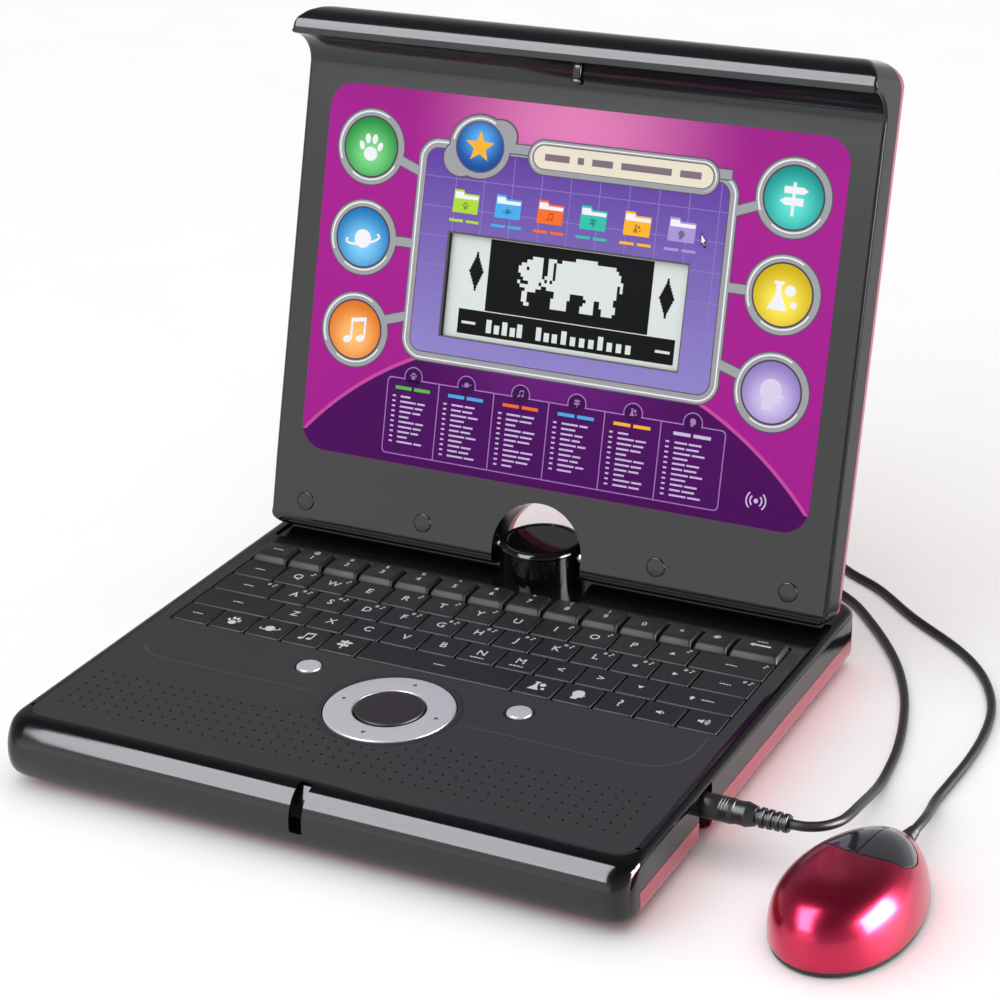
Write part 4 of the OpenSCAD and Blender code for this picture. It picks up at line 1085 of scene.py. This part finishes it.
def windowed(name, outline, k, material, grow=0.0):
    """A printed shape with the display's window left open."""
    hole = rounded_outline(-58.5 - grow, 108.1 - grow, 58.5 + grow, 154.7 + grow, 0.4, 2)
    obj = plate(name, [(x, v - V0) for x, v in outline], [[(x, v - V0) for x, v in hole]], 6.55, 6.6
                + 0.03 * k, material, LID_MATRIX, Matrix.Rotation(math.pi / 2, 4, "X"))
    PRINTS.append(obj)
    return obj


INK_HEX = {
    "grey": "#9b9ca0", "pale": "#e9e9ec", "shade": "#5b5560", "deep": "#3b0a4b", "beige": "#e3dac6",
    "black": "#101012", "lilac": "#cbb6dc", "line": "#a878bd", "grid": "#8f7cc2", "lime": "#a9d13c",
    "sky": "#49a6e4", "orange": "#ee6a2c", "teal": "#35b9a5", "yellow": "#f3b02c", "violet": "#a391cf",
    "green": "#57b947", "title": "#7c6c78", "lcd": "#d6ddda", "rim": "#c04a9c", "rim_dark": "#4a4550"}
INK = {name: printed("ink_" + name, shaded(value, PRINT_SHADE)) for name, value in INK_HEX.items()}
MAGENTA = glowing("print_magenta", "#a01c8a", "#e27fb6", (-0.002, 0.20), 0.088)
LOWER = glowing("print_purple", "#4a0658", "#6a1a7a", (0.0, 0.094), 0.075)
MIDDLE = graded("print_middle", "#8f84c4", "#5f3b9c", 0.078, 0.176)

panel = windowed("artwork_print", rounded_outline(-126.2, 46.4, 126.2, 216.4, 12, 12), 0, MAGENTA)
PRINTS.remove(panel)


def low_field(r):
    """The dark field along the foot of the panel: a wide arc that ends in the panel's round corners."""
    start = math.degrees(math.asin((55.0 + 56) / r))
    pts = [(x, min(v, 103.0)) for x, v in arc(0, -56, r, r, start, 180 - start, 60) if abs(x) < 126.1]
    return pts + [(-126.1, 55)] + arc(-114.2, 58.4, 11.9, 11.9, 196, 270, 8) + arc(114.2, 58.4, 11.9, 11.9,
                                                                                   270, 344, 8) + [(126.1,
                                                                                                    55)]


layer("low_border", [low_field(168.2)], 1, INK["rim"])
layer("low_area", [low_field(166.6)], 2, LOWER)
DOMES = (("paw", -103, 188.6, "#7fd98a", "#1c8a3a"), ("planet", -103, 147.2, "#7fd0f6", "#1270b4"),
         ("music", -103, 104.6, "#ffc071", "#d9701c"), ("signpost", 102.8, 189, "#5fe0d2", "#0e8c88"),
         ("flask", 102.8, 147.6, "#ffe95a", "#c6a800"), ("head", 102.8, 105.6, "#d6c8f0", "#8a74b8"))
arms, cores = [], []
for x0, v0, x1, v1 in ((-88, 184.4, -77, 180.4), (-86, 147.6, -77, 147.6), (-88, 111, -77, 114.4),
                       (88, 184.4, 77, 180.4), (86, 147.6, 77, 147.6), (88, 111, 77, 114.4)):
    arms.append(bar(x0, v0, x1, v1, 2.5))
    cores.append(bar(x0, v0, x1, v1, 2.0))
FRAME_AT = (-79.2, 95.4, 79.4, 196.0)


def frame_outline(inset, r):
    """The frame round the display, its sides swelling a little at mid height."""
    x0, y0, x1, y1 = FRAME_AT
    pts = rounded_outline(x0 + inset, y0 + inset, x1 - inset, y1 - inset, r, 8)
    return [(x * (1 - 0.03 * max((v - 150) / 46, 0) ** 2 - 0.03 * max((125 - v) / 30, 0) ** 2), v) for x,
            v in pts]


layer("ring_edges", [circle(x, v, 17.6, 56) for _, x, v, _, _ in DOMES] + arms, 3, INK["shade"])
windowed("frame_edge", frame_outline(-0.4, 9.4), 3, INK["shade"])
layer("ring_bodies", [circle(x, v, 17.1, 56) for _, x, v, _, _ in DOMES] + cores, 4, INK["grey"])
windowed("frame_body", frame_outline(0.1, 9.0), 5, INK["grey"])
layer("ring_shine", [o for _, x, v, _, _ in DOMES for o in ring_marks(x, v, 16.0, 16.0, 0.35, 60, 205, 16)],
      5, INK["pale"])
layer("ring_shine_low",
      [o for _, x, v, _, _ in DOMES for o in ring_marks(x, v, 14.9, 14.9, 0.3, 235, 330, 10)], 5, INK["pale"])
windowed("frame_shine", frame_outline(1.1, 8.0), 6, INK["pale"])
windowed("frame_body_in", frame_outline(1.8, 7.4), 7, INK["grey"])
windowed("frame_inner_edge", frame_outline(3.9, 5.4), 8, INK["shade"])
windowed("frame_middle", frame_outline(4.4, 5.0), 9, MIDDLE, 0.5)
grid = [bar(-72 + 14.2 * k, 100.4, -72 + 14.2 * k, 191, 0.16) for k in range(1, 11)]
grid += [bar(-74.4, 100 + 13.2 * k, 74.4, 100 + 13.2 * k, 0.16) for k in range(1, 7)]
clear = [o for o in grid if not (abs(o[0][0]) < 60 and abs(o[0][0] - o[1][0]) < 1)]
cut = [bar(-72 + 14.2 * k, a, -72 + 14.2 * k, b, 0.16) for k in range(1, 11) if abs(-72 + 14.2 * k) < 60
       for a, b in ((100.4, 107.4), (155.4, 191))]
across = [bar(a, 100 + 13.2 * k, b, 100 + 13.2 * k, 0.16) for k in range(1, 7) for a, b in (
    ((-74.4, -59.4), (59.6, 74.4)) if 107 < 100 + 13.2 * k < 156 else ((-74.4, 74.4),))]
layer("middle_grid", [o for o in clear if abs(o[0][0] - o[1][0]) < 1] + cut + across, 10, INK["grid"])
# painted shadow: dark bars along the display window's left and top edges, as if cast into its recess
layer("window_edge", [bar(-59.3, 107.6, -59.3, 155.3, 0.35), bar(-59.3, 155.3, 59.3, 155.3, 0.35)], 10,
      INK["shade"])

# the six round keys printed beside the frame
for n, (kind, x, v, light, dark) in enumerate(DOMES):
    dome = glowing("print_dome_" + kind, dark, light, (x * MM, (v - V0 - 3.0) * MM), 0.0172)
    layer("dome_rim_" + kind, [circle(x, v, 14.1, 48)], 6, INK["rim_dark"])
    layer("dome_" + kind, [circle(x, v, 13.3, 48)], 7, dome)
    layer("dome_icon_" + kind, moved(icon(kind), x, v - 0.6, 7.6), 9,
          INK["pale"] if kind != "head" else finish("icon_pale", "#d9d0ea", 0.45, bump=0, specular=0.05))

# a plain badge and an empty name plate
badge_x, badge_v = -47.6, 194.4
LOBES = ((0, 0, 15.6, 14.6, 40), (-9, -6, 9.2, 8.6, 28), (9.6, 5.4, 8.8, 8.0, 28))
for n, (dx, dv, rx, rv, count) in enumerate(LOBES):
    at = (badge_x + dx, badge_v + dv)
    layer("badge_edge%d" % n, [ellipse(*at, rx, rv, count)], 10 + 0.2 * n, INK["shade"])
    layer("badge_body%d" % n, [ellipse(*at, rx - 0.6, rv - 0.6, count)], 11 + 0.2 * n, INK["grey"])
layer("plate_arm_edges", [bar(-32, 195.4, -20, 195.4, 2.5), bar(66, 195.4, 74, 195.4, 2.5)], 10.5,
      INK["shade"])
layer("plate_arms", [bar(-33, 195.4, -20, 195.4, 2.0), bar(66, 195.4, 74, 195.4, 2.0)], 10.9, INK["grey"])
layer("badge_shine", ring_marks(badge_x, badge_v, 13.6, 12.7, 0.4, 60, 170, 12), 12, INK["pale"])
layer("badge_inner_edge", [ellipse(badge_x, badge_v, 12.2, 11.6, 36)], 12, INK["shade"])
layer("badge_inner", [ellipse(badge_x, badge_v, 11.6, 11.0, 36)], 13,
      glowing("print_badge", "#174a98", "#5aaef0", (badge_x * MM, (badge_v - V0 + 3) * MM), 0.013))
star = [(badge_x + r * math.sin(math.radians(36 * k)), badge_v + r * math.cos(math.radians(36 * k))) for k,
        r in enumerate([7.4, 3.1] * 5)]
layer("badge_star", [star], 14, INK["yellow"])
layer("plate_edge", [rounded_outline(-23.6, 185.2, 68.6, 201.2, 8.0, 10)], 11, INK["shade"])
layer("plate_body", [rounded_outline(-23.1, 185.7, 68.1, 200.7, 7.5, 10)], 12, INK["grey"])
layer("plate_shine", [rounded_outline(-22.1, 186.8, 67.1, 199.8, 6.6, 10)], 13, INK["pale"])
layer("plate_body_in", [rounded_outline(-21.6, 186.8, 66.6, 199.3, 6.2, 10)], 14, INK["grey"])
layer("plate_inner_edge", [rounded_outline(-20.9, 188.0, 65.9, 198.8, 5.3, 10)], 15, INK["shade"])
layer("plate_inner", [rounded_outline(-20.5, 188.3, 65.5, 198.4, 5.0, 10)], 16, INK["beige"])
layer("plate_marks",
      [bar(a, 193.4, b, 193.4, 1.5) for a, b in ((-15, -3), (1, 4), (8, 18), (22, 46), (50, 60))], 17,
      INK["title"])

# folders and their small labels
TINTS = ("lime", "sky", "orange", "teal", "yellow", "violet")
KINDS = ("paw", "planet", "music", "signpost", "flask", "head")
for n, (x, tint, kind) in enumerate(zip((-52, -30.8, -9.8, 11.2, 32.4, 53.6), TINTS, KINDS)):
    layer("folder_back%d" % n,
          [[(x - 6.4, 164.2), (x + 6.2, 164.2), (x + 6.6, 173.0), (x - 0.6, 173.0), (x - 1.4, 174.6),
            (x - 6.0, 174.6)]], 11, INK[tint])
    layer("folder_light%d" % n,
          [[(x - 5.6, 170.6), (x + 6.1, 170.6), (x + 6.2, 172.2), (x - 1.0, 172.2), (x - 1.6, 173.6),
            (x - 5.6, 173.6)]], 12, INK["pale"])
    layer("folder_icon%d" % n, moved(icon(kind), x, 167.4, 2.1), 12,
          finish("folder_ink%d" % n, shaded(INK_HEX[tint], 0.45), 0.45, bump=0, specular=0.05))
    layer("folder_word%d" % n,
          [bar(x - 7.6, 160.6, x - 0.6, 160.6, 0.62), bar(x + 0.8, 160.6, x + 7.4, 160.6, 0.62)], 11,
          INK[tint])
layer("pointer_edge",
      [[(62.6, 169.6), (66.0, 165.6), (64.8, 165.4), (65.8, 163.2), (64.6, 162.8), (63.8, 164.8),
        (62.8, 164.2)]], 11, INK["deep"])
layer("pointer", [[(63.0, 168.6), (65.2, 165.9), (64.2, 165.7), (65.0, 163.6), (63.9, 165.3), (63.1, 165.0)]],
      12, INK["pale"])

# the six lists at the foot
cells = [-83.0, -56.6, -28.6, -1.0, 26.6, 53.8, 84.2]
tabs = [-70.2, -42.8, -15.4, 12.6, 40.0, 68.6]
layer("list_tabs", [circle(x, 87.0, 4.7, 28) for x in tabs], 3, INK["line"])
layer("list_edge", [rounded_outline(-83.4, 50.4, 84.6, 86.0, 2.2, 6)], 4, INK["line"])
layer("list_tab_fill", [circle(x, 87.0, 4.2, 28) for x in tabs], 5, INK["deep"])
layer("list_fill", [rounded_outline(-82.9, 50.9, 84.1, 85.5, 1.9, 6)], 5,
      finish("list_fill", "#4c0a60", 0.42, bump=0, vary=0.02, specular=0.04))
layer("list_tab_icons", [o for x, kind in zip(tabs, KINDS) for o in moved(icon(kind), x, 87.4, 2.0)], 6,
      INK["line"])
layer("list_lines", [bar(x, 50.9, x, 85.5, 0.24) for x in cells[1:-1]], 6, INK["line"])
heads = ("green", "sky", "orange", "sky", "yellow", "lilac")
for n in range(6):
    x0 = cells[n] + 3.0
    mid = (cells[n] + cells[n + 1]) / 2
    layer("list_head%d" % n,
          [bar(mid - 9.0, 81.4, mid - 0.8, 81.4, 0.75), bar(mid + 0.6, 81.4, mid + 8.8, 81.4, 0.75)], 6,
          INK[heads[n]])
rows = []
for n in range(6):
    x0 = cells[n] + 3.0
    for r in range(10 if n in (0, 3) else 11):
        v = 77.4 - 2.33 * r
        first = 5.0 + (r * 7 + n * 5) % 4
        rows += [bar(x0, v, x0 + 1.7, v, 0.38), bar(x0 + 4.2, v, x0 + 4.2 + first, v, 0.42)]
        if (r + n) % 4:
            rows.append(bar(x0 + 5.0 + first, v, x0 + 9.0 + first + (r * 3 + n) % 3, v, 0.42))
layer("list_rows", rows, 6, INK["lilac"])
waves = [circle(101.6, 58, 1.05, 16)]
for r in (2.7, 4.5):
    waves += ring_marks(101.6, 58, r, r, 0.36, -48, 48, 8) + ring_marks(101.6, 58, r, r, 0.36, 132, 228, 8)
layer("sound_mark", waves, 3, INK["lilac"])

# the display behind its window: plain marks of its own on the glass
GLASS_Y = -FACE_Y + 2.05
PIXEL = 1.32
ANIMAL = ["......................########..........",
          "......####..###..####################...",
          "....######..##.#######################..",
          "..########..##.########################.",
          ".###.#####..##.########################.",
          ".#########..##.#########################",
          "..########.###.#######################.#",
          "...########.#.########################.#",
          ".#...####.############################..",
          "..########..##########################..",
          "....####.......######.....###########...",
          "...##..........######......###..#####...",
          "...##.........######......####..######..",
          "...##.........######.....#####...#####..",
          "....##........######.....#####...####..."]


def on_glass(name, outlines, k, material):
    """Printed shapes on the display's glass, k layers up."""
    return layer(name, outlines, k, material, GLASS_Y)


on_glass("glass_field", [rounded_outline(-58.4, 108.2, 58.4, 154.6, 0.3, 2)], 1, INK["lcd"])
on_glass("glass_black",
         [rounded_outline(-38.6, 121.8, 41.6, 154.2, 0.1, 2),
          rounded_outline(-51.6, 110.2, 55.2, 121.4, 0.1, 2)], 2, INK["black"])
cells_on = []
for r, row in enumerate(ANIMAL):
    k = 0
    while k < len(row):
        if row[k] == "#":
            e = k
            while e < len(row) and row[e] == "#":
                e += 1
            x0, v1 = -25.0 + PIXEL * k, 150.6 - PIXEL * 1.2 * r
            x1, v0 = x0 + PIXEL * (e - k), v1 - PIXEL * 1.2
            cells_on.append([(x0, v0), (x1, v0), (x1, v1), (x0, v1)])
            k = e
        k += 1
title = [bar(-49.6, 115.4, -42.6, 115.4, 0.6), bar(46.2, 115.4, 53.2, 115.4, 0.6)]
TALL, SHORT = (-37, -29, -21.5, -12, 0.5, 18.5), (-33, -25, -8, -4, 5, 9.5, 14, 23, 27.5, 32)
for x in sorted(TALL + SHORT):
    h = 6 if x in TALL else 4
    title.append([(x, 112.0), (x + 2.6, 112.0), (x + 2.6, 112.0 + h), (x, 112.0 + h)])
diamonds = []
for x in (-44.6, 49.0):
    for k in range(-6, 7):
        w = max(3.6 - abs(k) * 0.58, 0.5)
        v0, v1 = 138.2 + 1.35 * k, 139.56 + 1.35 * k
        diamonds.append([(x - w, v0), (x + w, v0), (x + w, v1), (x - w, v1)])
on_glass("glass_animal", cells_on + title, 3, INK["lcd"])
on_glass("glass_arrows", diamonds, 3, INK["black"])
prints = joined("panel_prints", PRINTS)
prints.data.transform(LID_MATRIX.inverted())
prints.matrix_world = LID_MATRIX
glass = block("display_glass", (-61.5, GLASS_Y + 0.02, ART_Z - 26.3), (61.5, GLASS_Y + 3, ART_Z + 26.3),
              DISPLAY, LID_MATRIX, 0.3, 2)
for piece, node, slot in ((panel, "artwork_panel", "printed_art"), (glass, "lcd_module", "display_glass")):
    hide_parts(node)
    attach(piece, "lid")
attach(prints, "lid")


# ---------------------------------------------------------------- mouse, about its middle, nose towards +Y
SKIRT_H = 3.0


def dome_point(a, t, i=0.0):
    """A place on the mouse's dome: a turns round it, t climbs from the skirt to the top, i sets it in."""
    ex = (MOUSE_W / 2 - i) * math.cos(a) * (1 - 0.15 * math.sin(a))
    ey = (MOUSE_L / 2 - i) * math.sin(a)
    s = max(math.cos(t), 0.0) ** 0.55
    return (ex * s, ey * s - 5 * math.sin(t), SKIRT_H + (MOUSE_H - SKIRT_H - i) * math.sin(t) ** 0.9)


def dome(name, i, material):
    """The dome as a closed solid, with rings close together near the skirt and the top."""
    count = 144
    ts = [0.5 * math.pi * (k / 44) for k in range(44)] + [0.5 * math.pi * f for f in (0.985, 0.993, 0.998)]
    verts, faces = [], []
    for t in ts:
        verts += [dome_point(2 * math.pi * k / count, t, i) for k in range(count)]
    n = len(ts)
    for j in range(n - 1):
        for k in range(count):
            q = (k + 1) % count
            faces.append((j * count + k, j * count + q, (j + 1) * count + q, (j + 1) * count + k))
    verts.append((0, -5, MOUSE_H - i))
    faces += [((n - 1) * count + k, (n - 1) * count + (k + 1) % count, n * count) for k in range(count)]
    faces.append(tuple(range(count)))
    return put(name, verts, faces, material, MOUSE_MATRIX, 40)


def cap_outline(grow):
    """The plan of the two mouse buttons together: round in front, flatter behind."""
    r0, r1, c0, c1 = 18 + grow, 30 + grow, 11.0, 29.5
    y = (r0 * r0 - r1 * r1 - c0 * c0 + c1 * c1) / (2 * (c1 - c0))
    a = math.degrees(math.asin((y - c0) / r0))
    b = math.degrees(math.asin((y - c1) / r1))
    return arc(0, c0, r0, r0, a, 180 - a, 48)[:-1] + arc(0, c1, r1, r1, 180 - b, 360 + b, 30)[:-1]


hull = dome("mouse_hull", 0, MOUSE_PINK)
cut = prism("cap_cut", cap_outline(0.35), 9, 60, None, "z", MOUSE_MATRIX)
hull = boolean(hull, [cut], smooth=40)
hull = bevelled(hull, 0.5, 3, 50, 45)
well_floor = dome("mouse_cap_well", 2.4, DARK)
for s, side in ((-1, "left"), (1, "right")):
    cap = dome("mouse_%s_cap" % side, 0.0, SMOKE)
    keep = prism("cap_keep", cap_outline(-0.15), 12, 60, None, "z", MOUSE_MATRIX)
    half = block("cap_half", (0.22 if s > 0 else -40, -60, 0), (40 if s > 0 else -0.22, 60, 60), None,
                 MOUSE_MATRIX)
    cap = boolean(cap, [keep, half], "INTERSECT", 40)
    cap = bevelled(cap, 0.55, 3, 50, 45)
    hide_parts("mouse_%s_button" % side)
    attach(cap, "mouse_%s_button" % side)
skirt = [(0.6, 1.1), (0.9, 0.7), (2.5, 0.5), (3.05, 0.35)]
count = 120
verts, faces = [], []
for z, i in skirt:
    verts += [dome_point(2 * math.pi * k / count, 0, i)[:2] + (z,) for k in range(count)]
for j in range(len(skirt) - 1):
    for k in range(count):
        q = (k + 1) % count
        faces.append((j * count + k, j * count + q, (j + 1) * count + q, (j + 1) * count + k))
faces += [tuple(range(count)), tuple(range((len(skirt) - 1) * count, len(skirt) * count))]
sole = put("mouse_sole", verts, faces, DARK, MOUSE_MATRIX, 35)
gland_at = Matrix.Translation((0, (MOUSE_L / 2 - 4) * MM, 0.010)) @ Matrix.Rotation(-math.pi / 2, 4, "X")
gland = lathe("mouse_gland",
              [(0, 0), (3, 0), (3, 4.3), (3.4, 4.5), (3.4, 5.4), (3.0, 5.7), (3.2, 6.2), (3.1, 7.4),
               (2.7, 7.7), (2.9, 8.1), (2.8, 9.2), (2.4, 9.5), (2.6, 9.9), (2.55, 11.2), (2.3, 11.4),
               (0, 11.4)], LEAD, turn=gland_at, steps=48, smooth=40, matrix=MOUSE_MATRIX)
for piece, node, slot in ((hull, "mouse_top_shell", "mouse_pink"), (sole, "mouse_base", "gloss_black"),
                          (gland, "mouse_grommet", "cord_rubber")):
    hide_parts(node)
    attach(piece, "mouse")
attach(well_floor, "mouse")


# ---------------------------------------------------------------- plug: ridged grip, collar and ribbed boot
def along(profile):
    """A profile of (distance from the jack's face, radius) as (radius, height) for the lathe."""
    return [(r, x) for x, r in profile]


X0 = NOTCH_X + 1.2
profile = [(X0, 0), (X0, 4.7), (X0 + 0.5, PLUG_R), (X0 + 12.2, PLUG_R)]
for k in range(4):
    x = X0 + 12.6 + 1.25 * k
    profile += [(x, PLUG_R - 0.28), (x + 0.35, PLUG_R - 0.3), (x + 0.5, PLUG_R + 0.02),
                (x + 1.0, PLUG_R + 0.02)]
profile += [(X0 + 17.8, PLUG_R - 0.1), (X0 + 18.9, PLUG_R - 0.15), (X0 + 19.2, PLUG_R - 0.45),
            (X0 + 22.6, PLUG_R - 0.3), (X0 + 23.6, PLUG_R - 0.05), (X0 + 24.4, PLUG_R - 0.3),
            (X0 + 27.6, 4.0), (X0 + 28.1, 3.2)]
for k in range(4):
    x, r = NOTCH_X + 30.4 + 3.2 * k, 4.1 - 0.12 * k
    profile += [(x, 3.15), (x + 0.1, r - 0.3), (x + 0.35, r), (x + 1.85, r), (x + 2.1, r - 0.3),
                (x + 2.2, 3.15)]
profile = [p for p in profile if p[0] <= PLUG_END] + [(PLUG_END, 3.4), (PLUG_END, 0)]
plug = lathe("plug_turned", along(profile), PLUG_BLACK, at=(0, JACK_Y, JACK_Z),
             turn=Matrix.Rotation(math.pi / 2, 4, "Y"), steps=72, smooth=42)
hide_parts("plug_body")
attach(plug, "base")


# ---------------------------------------------------------------- floor, light and the end
def area(name, at, aim, size, power, size_y=None, tint=(1, 1, 1)):
    data = bpy.data.lights.new(name, "AREA")
    data.shape = "RECTANGLE"
    data.size = size
    data.size_y = size_y or size
    data.energy = power
    data.color = tint
    obj = bpy.data.objects.new(name, data)
    scene.collection.objects.link(obj)
    obj.location = at
    obj.rotation_euler = (Vector(aim) - Vector(at)).to_track_quat("-Z", "Y").to_euler()
    return obj


floor = put("floor", [(-9000, -9000, 0), (9000, -9000, 0), (9000, 9000, 0), (-9000, 9000, 0)], [(0, 1, 2, 3)],
            finish("floor_white", "#f4f4f4", 0.6, grain=60, bump=0.0, vary=0.01))
world = bpy.data.worlds.new("world")
scene.world = world
world.use_nodes = True
wn, wl = world.node_tree.nodes, world.node_tree.links
sky = wn.new("ShaderNodeTexCoord")
sky_parts = wn.new("ShaderNodeSeparateXYZ")
wl.new(sky.outputs["Generated"], sky_parts.inputs["Vector"])
ramp = wn.new("ShaderNodeValToRGB")
ramp.color_ramp.interpolation = "EASE"
for at, value in ((0.0, 0.6), (0.12, 0.5), (0.4, 0.3), (0.75, 0.1)):
    stop = ramp.color_ramp.elements[0] if at == 0.0 else ramp.color_ramp.elements.new(at)
    stop.position = at
    stop.color = (value, value, value * 1.04, 1)
ramp.color_ramp.elements[-1].color = (0.05, 0.05, 0.055, 1)
wl.new(sky_parts.outputs["Z"], ramp.inputs["Fac"])
# a brighter wall low on the studio's front left
toward = wn.new("ShaderNodeVectorMath")
toward.operation = "DOT_PRODUCT"
toward.inputs[1].default_value = (-0.40, -0.914, 0.07)
wl.new(sky.outputs["Generated"], toward.inputs[0])
wall = wn.new("ShaderNodeMapRange")
wall.interpolation_type = "SMOOTHSTEP"
wall.inputs["From Min"].default_value = 0.86
wall.inputs["From Max"].default_value = 0.98
wall.inputs["To Max"].default_value = 1.1
wl.new(toward.outputs["Value"], wall.inputs["Value"])
total = wn.new("ShaderNodeMix")
total.data_type = "RGBA"
total.blend_type = "ADD"
total.inputs[0].default_value = 1.0
wl.new(ramp.outputs["Color"], total.inputs[6])
wl.new(wall.outputs["Result"], total.inputs[7])
wl.new(total.outputs[2], wn["Background"].inputs["Color"])
wn["Background"].inputs["Strength"].default_value = 1.0
front = area("front_softbox", (-0.9, -1.12, 1.6), (-0.9, 0, 0.05), 1.15, 86, 2.25, (0.93, 0.95, 1.0))
right = area("right_softbox", (1.6, 0.3, 0.5), (0.2, -0.05, 0.02), 1.15, 110, 0.95)
front.visible_diffuse = False
right.visible_diffuse = False
sun = bpy.data.lights.new("overhead_fill", "SUN")
sun.energy = 3.15
sun.angle = math.radians(110)
overhead = bpy.data.objects.new("overhead_fill", sun)
scene.collection.objects.link(overhead)
overhead.rotation_euler = (math.radians(10), math.radians(-12), 0)
overhead.visible_glossy = False
scene.view_settings.view_transform = "Standard"
